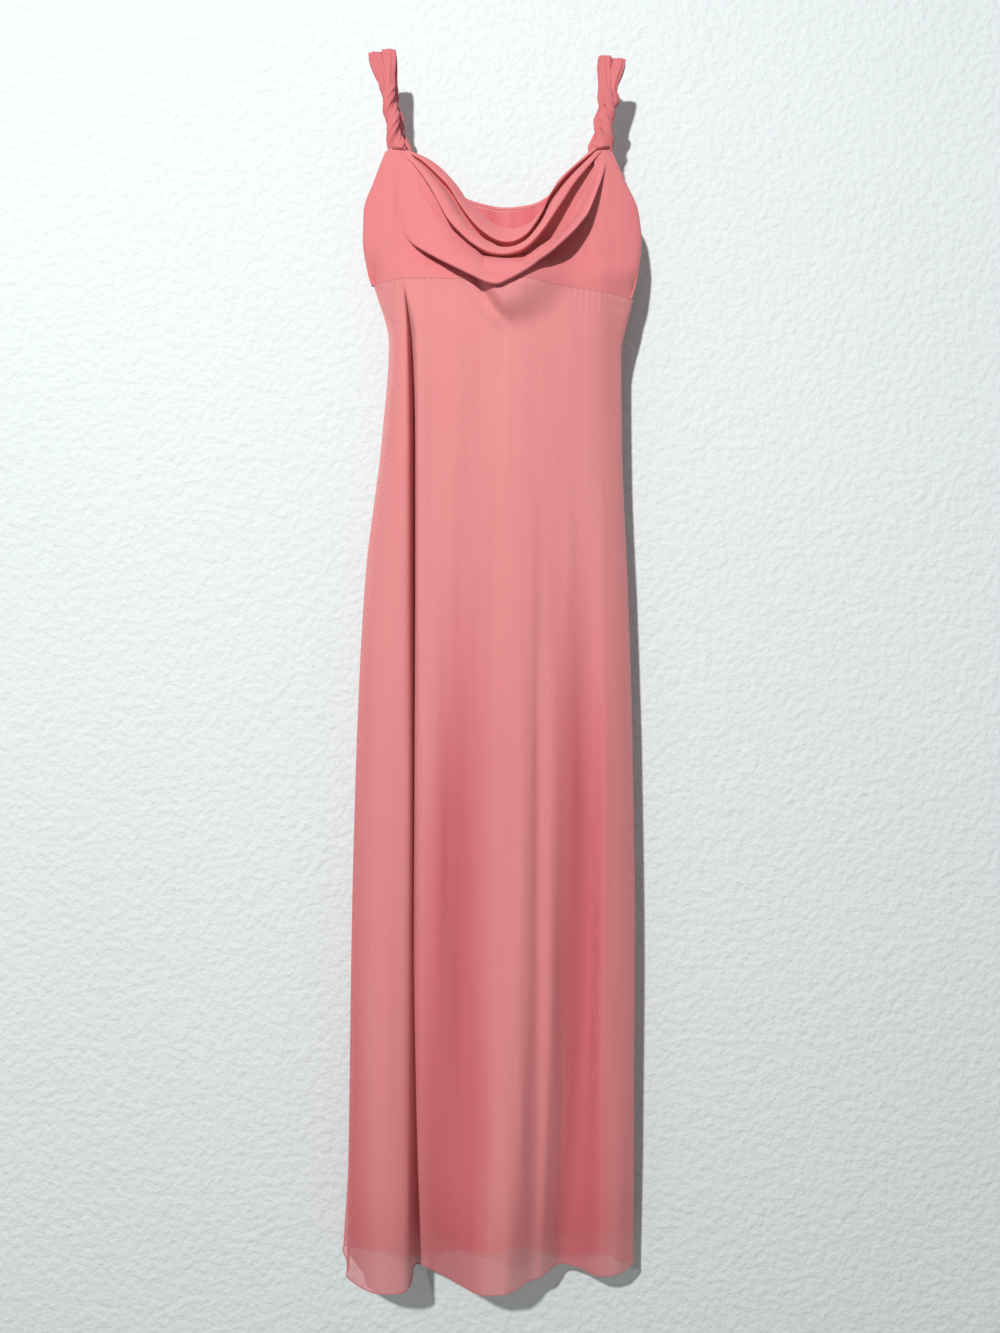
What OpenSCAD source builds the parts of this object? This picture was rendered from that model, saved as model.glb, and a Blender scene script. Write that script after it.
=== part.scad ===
// Floor-length sleeveless gown with a draped cowl neck and twisted straps, hanging empty.
// Millimetres. +Z is up, the front faces -Y, and the origin is the hang point, midway between
// the two places where the straps pass over a hanger's arms.
// The cloth pieces are thin closed shells. Their folds are only roughed out.

/* [Lengths] */
// Hang point down to the hem of the outer skirt
gown_drop = 1500; // [1440:10:1560]
// How much shorter the lining skirt is
lining_lift = 43; // [20:1:60]
// Hang point down to the raised waist seam at the centre
waist_seam_drop = 289; // [284:1:294]
// How much lower the waist seam is at the left-hand side of the body than at the centre
waist_seam_tilt = 9; // [0:1:12]

/* [Cloth] */
// Thickness of a cloth shell
cloth_t = 1; // [0.8:0.1:1.2]
// Distance from the outer cloth's face to the lining's face
lining_gap = 4; // [3.5:0.1:4.5]
// How far the cowl's lowest roll stands out in front of the bodice
cowl_bulge = 27; // [15:1:32]
// Depth of the skirt's hanging folds at the hem
fold_depth = 34; // [15:1:38]

/* [Straps] */
// Radius of the hanger arm that a strap folds over
arm_r = 3; // [2.5:0.1:4]
// Slope of the hanger's arms below the horizontal
arm_slope = 12; // [8:1:16]
// Thickness of a strand where it lies over the arm
strand_t = 3; // [2:0.5:3]
// Width of one flattened strand along the arm
strand_w = 16; // [12:1:18]
// How much lower the right-hand loop hangs
loop_drop = 8; // [0:1:12]

/* [Zip] */
// Length of the closed coils
zip_length = 334; // [250:1:340]
// Width of one zip tape
tape_w = 8.5; // [7:0.5:8.5]
// Width of one coil
coil_w = 1.6; // [1.4:0.1:1.8]

/* [Hidden] */

coral = [0.91, 0.52, 0.52];
coral_lining = [0.86, 0.42, 0.44];
coral_dark = [0.75, 0.33, 0.36];
thread_white = [0.93, 0.92, 0.90];
metal = [0.75, 0.75, 0.78];

lining_e = lining_gap + cloth_t / 2;         // inset of the lining's outer face
stay_e = lining_e + cloth_t + 1;             // inset of the waist tape's outer face
joint_drop = 112;                            // hang point down to where the straps are sewn on
underarm = -215;                             // height of the underarm points
seam_left_x = -120;                          // side seam at the viewer's left
seam_x = 138;                                // side seam that holds the zip
seam_y = 14;                                 // both side seams lie this far behind the edges
zip_top = -222;
zip_bottom = zip_top - zip_length;
zip_gap = 1.2;                               // half the slit between the two cloth edges
lining_zip_gap = 7;                          // half the slit in the lining
wrap_n = 4;                                  // columns round each side edge
front_n = 26;                                // columns across the front
loop_x = 142;                                // loop centre, left and right of the hang point

// The hanging outline: height, left edge, right edge, depth of the front, place of the back.
outline = [
    [10, -134, 138, 10, 12], [-110, -134, 138, 12, 12], [-150, -150, 156, 22, 13],
    [-190, -165, 175, 30, 15], [-225, -166, 179, 34, 16], [-265, -160, 175, 36, 17],
    [-300, -148, 166, 36, 18], [-335, -136, 158, 36, 18], [-365, -134, 154, 36, 19],
    [-480, -143, 155, 36, 21], [-610, -160, 161, 38, 25], [-795, -171, 167, 38, 30],
    [-1165, -180, 171, 38, 38], [-1560, -183, 170, 38, 44]
];

// Upper edge of the front, as place across (-1 is the left edge) and height.
front_top = [
    [-1, -118], [-0.92, -111], [-0.8, -113], [-0.53, -136], [-0.37, -160], [-0.15, -196],
    [0.1, -216], [0.3, -207], [0.45, -180], [0.56, -157], [0.74, -134], [0.92, -110], [1, -117]
];

// Upper edge of the back.
back_top = [
    [-1, -216], [-0.985, -190], [-0.96, -135], [-0.92, -113], [-0.8, -118], [-0.5, -155],
    [-0.2, -174], [0.05, -179], [0.3, -175], [0.55, -155], [0.8, -118], [0.92, -113],
    [0.96, -135], [0.985, -190], [1, -216]
];

// The cowl's three rolls, as share of the way down the front and share of the bulge.
rolls = [
    [0, 0.12], [0.1, 0.3], [0.2, 0.42], [0.25, 0.24], [0.41, 0.68], [0.47, 0.42],
    [0.62, 0.72], [0.83, 1], [0.88, 0.45], [1, 0]
];

// The skirt front's hanging folds at the hem, as place across and share of the fold depth.
hem_folds = [
    [-1, 0], [-0.82, -0.35], [-0.68, -0.2], [-0.57, 1], [-0.45, 0.95], [-0.2, -0.3],
    [0, -0.4], [0.22, 0.1], [0.45, 1], [0.55, 0.95], [0.75, 0.1], [0.88, 0], [1, 0]
];

function lerp(a, b, t) = a + (b - a) * t;
function clamp01(t) = min(1, max(0, t));
function ease(t) = let (c = clamp01(t)) c * c * (3 - 2 * c);
function unit(v) = v / norm(v);

// Column c of a table at key k, by a smooth curve through the table's rows. Keys may rise or fall.
function row_before(table, k, i = 0) =
    let (rising = table[1][0] > table[0][0])
    i >= len(table) - 2 ? len(table) - 2
    : (rising ? k < table[i + 1][0] : k > table[i + 1][0]) ? i
    : row_before(table, k, i + 1);
function slope_at(table, i, c) =
    let (a = max(0, i - 1), b = min(len(table) - 1, i + 1))
    (table[b][c] - table[a][c]) / (table[b][0] - table[a][0]);
function smooth_at(table, k, c) =
    let (
        i = row_before(table, k),
        span = table[i + 1][0] - table[i][0],
        t = clamp01((k - table[i][0]) / span),
        m0 = slope_at(table, i, c) * span,
        m1 = slope_at(table, i + 1, c) * span
    )
    (2 * t ^ 3 - 3 * t ^ 2 + 1) * table[i][c] + (t ^ 3 - 2 * t ^ 2 + t) * m0
        + (3 * t ^ 2 - 2 * t ^ 3) * table[i + 1][c] + (t ^ 3 - t ^ 2) * m1;
function straight_at(table, k, c) =
    let (i = row_before(table, k), t = (k - table[i][0]) / (table[i + 1][0] - table[i][0]))
    lerp(table[i][c], table[i + 1][c], clamp01(t));

function left_x(z) = smooth_at(outline, z, 1);
function right_x(z) = smooth_at(outline, z, 2);
function front_depth(z) = smooth_at(outline, z, 3);
function back_y(z) = smooth_at(outline, z, 4);
function edge_y(z) = -8 * ease((z - underarm) / 100);  // the side edges come forward above the underarm
function seam_z(s) = -waist_seam_drop - waist_seam_tilt * s;
function open_share(z) = ease((z - zip_bottom + 12) / 10);  // 1 along the zip, 0 below it

// How far the skirt front is pushed back by its folds, at x and height z.
function fold_at(x, z) =
    let (s = min(1, max(-1, 2 * (x - left_x(z)) / (right_x(z) - left_x(z)) - 1)))
    fold_depth * smooth_at(hem_folds, s, 1) * ease((seam_z(0) - 20 - z) / 900);

// How far the cowl stands out at place s, at share v of the way down.
function cowl_at(s, v) = cowl_bulge * straight_at(rolls, v, 1) * clamp01(1 - (s / 0.9) ^ 2);

// A point of the front at column place u and height z, inset by e. u runs -1..1 across the front,
// and on to -2 and 2 round the side edges to the side seams. bulge moves the front forwards, and
// folded is true on the skirt.
function front_point(u, z, e, gap, bulge = 0, folded = false) =
    let (ye = edge_y(z), xl = left_x(z), xr = right_x(z))
    u < -1 ? let (a = 90 * (-1 - u))
        [seam_left_x + (xl + e - seam_left_x) * cos(a), ye + (seam_y - e - ye) * sin(a), z]
    : u > 1 ? let (a = 90 * (u - 1), xs = seam_x + gap * open_share(z))
        [xs + (xr - e - xs) * cos(a), ye + (seam_y - e - ye) * sin(a), z]
    : let (a = 90 * (u + 1), s = -cos(a), x = (xl + xr) / 2 + (xr - xl) / 2 * s - e * sign(s) * abs(s) ^ 6)
        [x, ye - (front_depth(z) - e) * sin(a) ^ 0.8 - bulge + (folded ? fold_at(x, z) : 0), z];

// Place across the front, -1..1, of column place u.
function across(u) = -cos(90 * (min(1, max(-1, u)) + 1));

// A point of the back at place s (-1 left side seam, 1 right side seam), inset by e.
function back_left(z) = lerp(seam_left_x, -134, ease((z - underarm) / 90));
function back_right(z) = lerp(seam_x, 138, ease((z - underarm) / 90));
function back_point(s, z, e, gap) =
    [lerp(back_left(z), back_right(z) - gap * open_share(z), (s + 1) / 2),
     seam_y + (back_y(z) - seam_y) * ease(3.2 * (1 - abs(s))) - e, z];

// Column places of the front, from side seam to side seam, and of the back.
front_columns = [for (i = [0 : front_n + 2 * wrap_n])
    i < wrap_n ? -2 + i / wrap_n
    : i > wrap_n + front_n ? 1 + (i - wrap_n - front_n) / wrap_n
    : -1 + 2 * (i - wrap_n) / front_n];
back_columns = [-1, -0.985, -0.96, -0.92, -0.8, -0.65, -0.5, -0.35, -0.2, 0,
    0.2, 0.35, 0.5, 0.65, 0.8, 0.92, 0.96, 0.985, 1];

// Upper edge of the front round the armholes, at column place u.
function armhole_z(u) = let (d = abs(u) - 1) d > 0.7 ? lerp(-213, underarm, (d - 0.7) / 0.3)
    : lerp(d > 0.2 ? -205 : -196, -213, (d - 0.2) / 0.5);
function front_top_z(u) = abs(u) > 1 ? armhole_z(u) : smooth_at(front_top, across(u), 1);

// One closed shell: rows of outer points and rows of inner points, in the same order.
module shell(outer, inner) {
    rows = len(outer);
    cols = len(outer[0]);
    n = rows * cols;
    points = concat([for (r = outer) each r], [for (r = inner) each r]);
    faces = concat(
        [for (i = [0 : rows - 2]) for (j = [0 : cols - 2])
            each quad(i * cols + j, i * cols + j + 1, (i + 1) * cols + j + 1, (i + 1) * cols + j)],
        [for (i = [0 : rows - 2]) for (j = [0 : cols - 2])
            each quad(n + i * cols + j, n + (i + 1) * cols + j,
                n + (i + 1) * cols + j + 1, n + i * cols + j + 1)],
        [for (j = [0 : cols - 2]) each quad(n + j, n + j + 1, j + 1, j)],
        [for (j = [0 : cols - 2]) let (a = (rows - 1) * cols + j) each quad(a, a + 1, n + a + 1, n + a)],
        [for (i = [0 : rows - 2]) each quad(i * cols, (i + 1) * cols, n + (i + 1) * cols, n + i * cols)],
        [for (i = [0 : rows - 2]) let (a = i * cols + cols - 1)
            each quad(n + a, n + a + cols, a + cols, a)]
    );
    polyhedron(points = points, faces = faces, convexity = 6);
}
function quad(a, b, c, d) = [[a, b, c], [a, c, d]];

// A tube through a list of points, of half-widths [across, along Y] at each point. Its sections
// keep their direction from one point to the next, so it doesn't twist, or all lie along one
// given direction.
function carried(ts, x, i = 0) = i == len(ts) ? []
    : let (nx = unit(x - (x * ts[i]) * ts[i])) concat([nx], carried(ts, nx, i + 1));
module tube(path, half_widths, sides = 8, along = undef) {
    n = len(path);
    ts = [for (i = [0 : n - 1]) unit(path[min(i + 1, n - 1)] - path[max(i - 1, 0)])];
    xs = is_undef(along) ? carried(ts, cross([0, 1, 0], ts[0]))
        : [for (t = ts) unit(along - (along * t) * t)];
    points = [for (i = [0 : n - 1]) for (k = [0 : sides - 1]) let (a = 360 * k / sides)
        path[i] + half_widths[i][0] * cos(a) * xs[i]
            + half_widths[i][1] * sin(a) * cross(ts[i], xs[i])];
    faces = concat(
        [[for (k = [0 : sides - 1]) k]],
        [for (i = [0 : n - 2]) for (k = [0 : sides - 1]) let (m = (k + 1) % sides)
            each quad(i * sides + k, (i + 1) * sides + k, (i + 1) * sides + m, i * sides + m)],
        [[for (k = [sides - 1 : -1 : 0]) (n - 1) * sides + k]]
    );
    polyhedron(points = points, faces = faces, convexity = 6);
}

// A cloth panel of the front or the back: rows of shares down each column, between two edges.
function front_rows(shares, top, bottom, e, gap, kind) = [for (v = shares)
    [for (u = front_columns)
        front_point(u, lerp(top(u), bottom(u), v), e, gap,
            kind == "cowl" ? cowl_at(across(u), v) : 0, kind == "skirt")]];
function back_rows(shares, top, bottom, e, gap) = [for (v = shares)
    [for (i = [len(back_columns) - 1 : -1 : 0])
        let (s = back_columns[i]) back_point(s, lerp(top(s), bottom(s), v), e, gap)]];
module front_panel(shares, top, bottom, e, gap, kind) {
    shell(front_rows(shares, top, bottom, e, gap, kind),
        front_rows(shares, top, bottom, e + cloth_t, gap, kind));
}
module back_panel(shares, top, bottom, e, gap) {
    shell(back_rows(shares, top, bottom, e, gap),
        back_rows(shares, top, bottom, e + cloth_t, gap));
}
bodice_shares = [for (r = rolls) r[0]];
plain_shares = [for (i = [0 : 6]) i / 6];
skirt_shares = [for (i = [0 : 15]) (i / 15) ^ 1.25];

function waist_of_front(u) = seam_z(across(u));
function hem(u) = -gown_drop;
function lining_hem(u) = -gown_drop + lining_lift;

module bodice_front() {
    color(coral) front_panel(bodice_shares, function(u) front_top_z(u), function(u) waist_of_front(u),
        0, zip_gap, "cowl");
}
module skirt_front() {
    color(coral) front_panel(skirt_shares, function(u) waist_of_front(u), function(u) hem(u),
        0, zip_gap, "skirt");
}
module bodice_lining_front() {
    color(coral_lining) front_panel(plain_shares,
        function(u) front_top_z(u) - 6 - 34 * clamp01(1 - (across(u) / 0.8) ^ 2),
        function(u) waist_of_front(u), lining_e, lining_zip_gap, "plain");
}
module skirt_lining_front() {
    color(coral_lining) front_panel(skirt_shares, function(u) waist_of_front(u),
        function(u) lining_hem(u), lining_e, lining_zip_gap, "skirt");
}
module bodice_back() {
    color(coral) back_panel(plain_shares, function(s) smooth_at(back_top, s, 1),
        function(s) seam_z(s), 0, zip_gap);
}
module skirt_back() {
    color(coral) back_panel(skirt_shares, function(s) seam_z(s), function(s) hem(s), 0, zip_gap);
}
module bodice_lining_back() {
    color(coral_lining) back_panel(plain_shares, function(s) smooth_at(back_top, s, 1) - 5,
        function(s) seam_z(s), lining_e, lining_zip_gap);
}
module skirt_lining_back() {
    color(coral_lining) back_panel(skirt_shares, function(s) seam_z(s),
        function(s) lining_hem(s), lining_e, lining_zip_gap);
}

// Tape sewn inside the lining along the waist seam, in a front half and a back half.
module waist_stay_tape() {
    tape_half = 5;
    color(coral_dark) {
        shell(stay_front(stay_e, tape_half), stay_front(stay_e + 0.8, tape_half));
        shell(stay_back(stay_e, tape_half), stay_back(stay_e + 0.8, tape_half));
    }
}
function stay_front(e, half) = [for (d = [half, -half]) [for (u = front_columns)
    front_point(u, seam_z(across(u)) + d, e, lining_zip_gap + 1)]];
function stay_back(e, half) = [for (d = [half, -half]) [for (i = [len(back_columns) - 1 : -1 : 0])
    let (s = back_columns[i]) back_point(s, seam_z(s) + d, e, lining_zip_gap + 1)]];

// Bias binding along a cloth edge: a thin tube just outside the edge. outs is the way out of the
// cloth at each point.
binding_r = 1.4;
module binding(edge, outs) {
    path = [for (i = [0 : len(edge) - 1])
        edge[i] + unit(outs[i]) * (binding_r + 0.15) + [0, cloth_t / 2, 0]];
    tube(path, [for (p = path) [binding_r, binding_r]], 6);
}
module armhole_binding(side) {
    // Down the front edge from the strap.
    first = front_point(side, front_top_z(side), 0, zip_gap);
    last = front_point(side * (1 + 1 / wrap_n), armhole_z(1 + 1 / wrap_n), 0, zip_gap);
    front = [for (i = [0 : 6]) lerp(first, last, 0.06 + 0.94 * i / 6)];
    // Round under the arm, as far as the side seam.
    under = [for (i = [2 : wrap_n])
        front_point(side * (1 + i / wrap_n), armhole_z(1 + i / wrap_n), 0, zip_gap)];
    binding(concat(front, under), concat([for (p = front) [0, 1, 0.35]], [for (p = under) [0, 0.3, 1]]));
    // Up the back edge to the strap.
    back = [for (s = [0.995, 0.985, 0.96, 0.93])
        back_point(side * s, smooth_at(back_top, side * s, 1), 0, zip_gap)];
    binding(back, [for (p = back) [side, 0, 0.3]]);
}
module armhole_binding_left() { color(coral_dark) armhole_binding(-1); }
module armhole_binding_right() { color(coral_dark) armhole_binding(1); }
module back_neck_binding() {
    neck = [for (s = back_columns) if (abs(s) < 0.85) s];
    edge = [for (s = neck) back_point(s, smooth_at(back_top, s, 1), 0, zip_gap)];
    n = len(edge);
    color(coral_dark) binding(edge, [for (i = [0 : n - 1])
        let (t = edge[min(i + 1, n - 1)] - edge[max(i - 1, 0)]) [-t[2], 0, t[0]]]);
}

// Straps. Two strands twist round each other up the front, lie side by side over the hanger's
// arm, and twist down again behind.
function loop_z(side) = side > 0 ? -loop_drop / 2 : loop_drop / 2;
function strap_foot(side, behind) = side > 0
    ? [behind > 0 ? 122 : 130, behind > 0 ? 11 : -11, -joint_drop + 4]
    : [behind > 0 ? -117 : -125, behind > 0 ? 11 : -11, -joint_drop + 2];
function strap_head(side, behind) = [side * loop_x, behind * (arm_r + strand_t / 2 + 0.3), loop_z(side) + 1.5];
function strap_path(side, behind, t) =
    let (a = strap_foot(side, behind), b = strap_head(side, behind))
    [lerp(a[0], b[0], t), behind * lerp(abs(a[1]), abs(b[1]), t ^ 2), lerp(a[2], b[2], t)];
fan_from = 0.66;                             // share of a run's height where the strands part
strap_turn = 640;                            // degrees that the strands would turn in a whole run
module strap_run(side, behind, which) {
    steps = 15;
    run = [for (i = [0 : steps])
        let (
            t = i / steps,
            fan = ease((t - fan_from) / (1 - fan_from)),
            a = 90 * (1 - side) + 180 * which + side * strap_turn * max(0, fan_from - t),
            r = lerp(4.5, 0, fan),
            slide = (strand_w / 2 + 0.3) * (which == 0 ? 1 : -1) * side * fan
        )
        strap_path(side, behind, t)
            + [r * cos(a) + slide, 0.9 * r * sin(a), -side * slide * tan(arm_slope)]];
    sizes = [for (i = [0 : steps]) let (fan = ease((i / steps - fan_from) / (1 - fan_from)))
        [lerp(4, strand_w / 2 - 0.2, fan), lerp(3.7, strand_t / 2, fan)]];
    tube(run, sizes, 8, [1, 0, 0]);
}
module strand_saddle(side, which) {
    slide = (strand_w / 2 + 0.3) * (which == 0 ? 1 : -1);
    translate([side * loop_x, 0, loop_z(side)])
        rotate([0, side * arm_slope, 0]) translate([side * slide, 0, 0]) rotate([0, 90, 0])
        difference() {
            cylinder(r = arm_r + strand_t, h = strand_w, center = true, $fn = 64);
            cylinder(r = arm_r, h = strand_w + 1, center = true, $fn = 64);
            translate([arm_r + strand_t + 1, 0, 0])
                cube([2 * (arm_r + strand_t + 1), 4 * arm_r + 4 * strand_t, strand_w + 1], center = true);
        }
}
module strand(side, which) {
    color(which == 0 ? coral : coral_lining) {
        strand_saddle(side, which);
        strap_run(side, -1, which);
        strap_run(side, 1, which);
    }
}
module strap_left_outer_strand() { strand(-1, 0); }
module strap_left_inner_strand() { strand(-1, 1); }
module strap_right_outer_strand() { strand(1, 0); }
module strap_right_inner_strand() { strand(1, 1); }

// Concealed zip in the side seam. Its coils stay closed, 0.8 mm either side of the seam line.
coil_face = 12.6;                            // outer face of the coils, inside the cloth
coil_t = 1.6;
coil_in = 0.8;
tape_e = cloth_t + 1;
function tape_rows(e, far, near) = [for (z = [zip_top + 4, lerp(zip_top, zip_bottom, 0.25),
        lerp(zip_top, zip_bottom, 0.5), lerp(zip_top, zip_bottom, 0.75), zip_bottom - 8])
    [for (x = [near, lerp(near, far, 0.35), lerp(near, far, 0.7), far]) tape_point(x, z, e)]];
function tape_point(x, z, e) = x < 0
    ? let (s = 1 + 2 * x / (seam_x - seam_left_x)) [seam_x + x, back_point(s, z, e, 0)[1], z]
    : let (c = (x - zip_gap) / (right_x(z) - e - seam_x - zip_gap)) [seam_x + x,
        edge_y(z) + (seam_y - e - edge_y(z)) * sqrt(max(0, 1 - c * c)), z];
module zip_tape_front() {
    color(coral_dark) shell(tape_rows(tape_e + 0.6, tape_w, coil_in + coil_w + 0.1),
        tape_rows(tape_e, tape_w, coil_in + coil_w + 0.1));
}
module zip_tape_back() {
    color(coral_dark) shell(tape_rows(tape_e, -tape_w, -coil_in - coil_w - 0.1),
        tape_rows(tape_e + 0.6, -tape_w, -coil_in - coil_w - 0.1));
}
module coil(side) {
    translate([seam_x + side * (coil_in + coil_w / 2) - coil_w / 2, coil_face - coil_t, zip_bottom])
        cube([coil_w, coil_t, zip_length]);
}
module zip_coil_front() { color(coral_dark) coil(1); }
module zip_coil_back() { color(coral_dark) coil(-1); }

slider_h = 9;
slider_top = zip_top - 5;
bail_y = 16.1;
bail_z = slider_top - 3;
pull_pin_r = 0.6;
module zip_slider() {
    color(coral_dark) difference() {
        union() {
            // Plate behind the coils
            translate([seam_x - 3.2, 9.5, slider_top - slider_h]) cube([6.4, 1.1, slider_h]);
            // Neck through the slit
            translate([seam_x - 0.5, 9.5, slider_top - 5]) cube([1, 5.6, 5]);
            // Bail that carries the pull
            translate([seam_x - 1.5, 14.9, bail_z - 1.6]) cube([3, 2.4, 3.2]);
        }
        translate([seam_x, bail_y, bail_z]) rotate([0, 90, 0])
            cylinder(r = pull_pin_r + 0.05, h = 5, center = true, $fn = 32);
    }
}
module zip_pull() {
    color(coral_dark) {
        translate([seam_x, bail_y, bail_z]) rotate([0, 90, 0])
            cylinder(r = pull_pin_r, h = 4.6, center = true, $fn = 32);
        for (side = [-1, 1]) translate([seam_x + side * 2.3, bail_y, bail_z - 1.6])
            cube([0.9, 1.2, 4.4], center = true);
        translate([seam_x, bail_y + 0.6, bail_z]) rotate([90, 0, 0]) linear_extrude(1.2)
            polygon([[-2.75, -2.6], [2.75, -2.6], [3.1, -11], [2.2, -14.2], [0, -15.6],
                [-2.2, -14.2], [-3.1, -11]]);
    }
}
module zip_top_stops() {
    color(metal) for (side = [-1, 1])
        translate([seam_x + side * (coil_in + coil_w / 2), coil_face - coil_t / 2, zip_top + 1.1])
            cube([coil_w, coil_t + 0.2, 2], center = true);
}
module zip_bottom_stop() {
    color(metal) translate([seam_x, coil_face - coil_t / 2, zip_bottom - 1.6])
        cube([2 * (coil_in + coil_w), coil_t + 0.2, 3], center = true);
}

// Hook and eye above the zip, just inside the underarm.
wire_r = 0.35;
hook_y = 10.6;
hook_z = zip_top + 4.6;
module hook() {
    color(metal) translate([seam_x, hook_y, hook_z]) {
        for (side = [-1, 1]) translate([0.4, 0, side * 1.1]) rotate([0, 90, 0])
            cylinder(r = wire_r, h = 4, $fn = 24);
        translate([0.4, 0, 0]) rotate([90, 0, 0]) rotate([0, 0, 90])
            rotate_extrude(angle = 180, $fn = 48) translate([1.1, 0]) circle(r = wire_r, $fn = 24);
    }
}
module eye() {
    color(metal) translate([seam_x - 3.4, hook_y, hook_z]) {
        rotate([90, 0, 0]) rotate([0, 0, -90])
            rotate_extrude(angle = 180, $fn = 48) translate([1.1, 0]) circle(r = wire_r, $fn = 24);
        for (side = [-1, 1]) translate([-2.4, 0, side * 1.1]) rotate([0, 90, 0])
            cylinder(r = wire_r, h = 2.4, $fn = 24);
    }
}

// Blank woven labels on the back lining.
function label_rows(x0, x1, z0, z1, e) = [for (z = [z1, (z0 + z1) / 2, z0])
    [for (x = [x1, (x0 + x1) / 2, x0])
        let (s = 2 * (x - back_left(z)) / (back_right(z) - back_left(z)) - 1)
        [x, back_point(s, z, e, 0)[1], z]]];
module label(x0, x1, z0, z1) {
    color(thread_white) shell(label_rows(x0, x1, z0, z1, lining_e + cloth_t + 0.2),
        label_rows(x0, x1, z0, z1, lining_e + cloth_t + 0.7));
}
module size_label() { label(-13, 17, -224, -210); }
module care_label() { label(-62, -34, -480, -430); }

bodice_front();
bodice_back();
skirt_front();
skirt_back();
bodice_lining_front();
bodice_lining_back();
skirt_lining_front();
skirt_lining_back();
waist_stay_tape();
armhole_binding_left();
armhole_binding_right();
back_neck_binding();
strap_left_outer_strand();
strap_left_inner_strand();
strap_right_outer_strand();
strap_right_inner_strand();
zip_tape_front();
zip_tape_back();
zip_coil_front();
zip_coil_back();
zip_slider();
zip_pull();
zip_top_stops();
zip_bottom_stop();
hook();
eye();
size_label();
care_label();
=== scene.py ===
"""Floor-length lined chiffon gown with a draped cowl neck and twisted straps, hanging empty.

Every length below is in millimetres, unless a name says otherwise, and meshes are made in metres.
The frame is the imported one: +Z up, -Y out of the gown's front, +X to the viewer's right, and the
origin midway between the two strap loops.
"""

import logging
import math
from dataclasses import dataclass, field
from enum import Enum
from functools import cached_property
from typing import Callable, Sequence

import bpy
import numpy as np
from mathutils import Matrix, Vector


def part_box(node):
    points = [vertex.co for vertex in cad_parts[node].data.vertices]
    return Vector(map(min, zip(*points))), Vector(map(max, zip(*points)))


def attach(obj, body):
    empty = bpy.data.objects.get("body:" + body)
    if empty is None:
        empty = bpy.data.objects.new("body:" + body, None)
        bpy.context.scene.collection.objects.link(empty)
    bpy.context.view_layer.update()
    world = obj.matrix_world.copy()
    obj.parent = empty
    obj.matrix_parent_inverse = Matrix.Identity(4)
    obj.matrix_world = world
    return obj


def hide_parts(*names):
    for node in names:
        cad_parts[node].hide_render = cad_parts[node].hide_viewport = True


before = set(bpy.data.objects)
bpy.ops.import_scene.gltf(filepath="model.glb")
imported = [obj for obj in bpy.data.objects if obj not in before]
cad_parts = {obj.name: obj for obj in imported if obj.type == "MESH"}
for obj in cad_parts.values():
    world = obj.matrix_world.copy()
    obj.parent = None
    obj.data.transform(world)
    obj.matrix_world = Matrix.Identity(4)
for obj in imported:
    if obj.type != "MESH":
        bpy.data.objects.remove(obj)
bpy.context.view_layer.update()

LOG = logging.getLogger("gown")
MM = 0.001
GOWN = "gown"
RIM_ANGLE = math.radians(72.0)      # cut edges of the cloth stay crisp, its folds stay smooth
FOLD_WAVE = 0.147                   # metres between the painted shade streaks of the lower skirt's folds
FOLD_PHASE = 2.38
LOW_FOLDS_Z = -0.62                 # height in metres below which the painted fold shade deepens

Grid = np.ndarray          # rows x columns x 3, in millimetres
Colour = tuple[float, float, float]


# ---------------------------------------------------------------------------------------------
# Curves and numbers
# ---------------------------------------------------------------------------------------------


def ease(value: np.ndarray | float) -> np.ndarray | float:
    """Smooth step from 0 to 1."""
    t = np.clip(value, 0.0, 1.0)
    return t * t * (3 - 2 * t)


def lerp(a: np.ndarray | float, b: np.ndarray | float, t: np.ndarray | float) -> np.ndarray | float:
    """Straight mix from a to b."""
    return a + (b - a) * t


def bell(value: np.ndarray | float, centre: float, width: float) -> np.ndarray | float:
    """Bell curve of height 1 round a centre."""
    return np.exp(-(((value - centre) / width) ** 2))


def hermite(keys: np.ndarray, values: np.ndarray, slopes: np.ndarray, at: np.ndarray) -> np.ndarray:
    """Cubic curve through given values with given slopes.

    Args:
        keys: Places of the values, rising.
        values: One row of values for each key.
        slopes: One row of slopes for each key.
        at: Places to read.

    Returns:
        One row of values for each place.
    """
    x = np.clip(np.asarray(at, float), keys[0], keys[-1])
    i = np.clip(np.searchsorted(keys, x, side="right") - 1, 0, len(keys) - 2)
    shape = (-1, *[1] * (values.ndim - 1))
    t = ((x - keys[i]) / (keys[i + 1] - keys[i])).reshape(shape)
    span = (keys[i + 1] - keys[i]).reshape(shape)
    return ((2 * t**3 - 3 * t**2 + 1) * values[i] + (t**3 - 2 * t**2 + t) * span * slopes[i]
            + (3 * t**2 - 2 * t**3) * values[i + 1] + (t**3 - t**2) * span * slopes[i + 1])


def smooth_through(keys: Sequence[float], values: Sequence[float], at: np.ndarray) -> np.ndarray:
    """Smooth curve through given values that doesn't overshoot between them.

    Args:
        keys: Places of the values, rising.
        values: One value for each key.
        at: Places to read, in an array of any shape.

    Returns:
        The curve's value at each place, in the same shape.
    """
    k, v, at = np.asarray(keys, float), np.asarray(values, float), np.asarray(at, float)
    h = np.diff(k)
    d = np.diff(v) / h
    m = np.zeros_like(v)
    m[0], m[-1] = d[0], d[-1]
    weight_a, weight_b = 2 * h[1:] + h[:-1], h[1:] + 2 * h[:-1]
    with np.errstate(divide="ignore", invalid="ignore"):
        harmonic = (weight_a + weight_b) / (weight_a / d[:-1] + weight_b / d[1:])
    m[1:-1] = np.where(d[:-1] * d[1:] > 0, harmonic, 0.0)
    return hermite(k, v, m, at.ravel()).reshape(at.shape)


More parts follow.
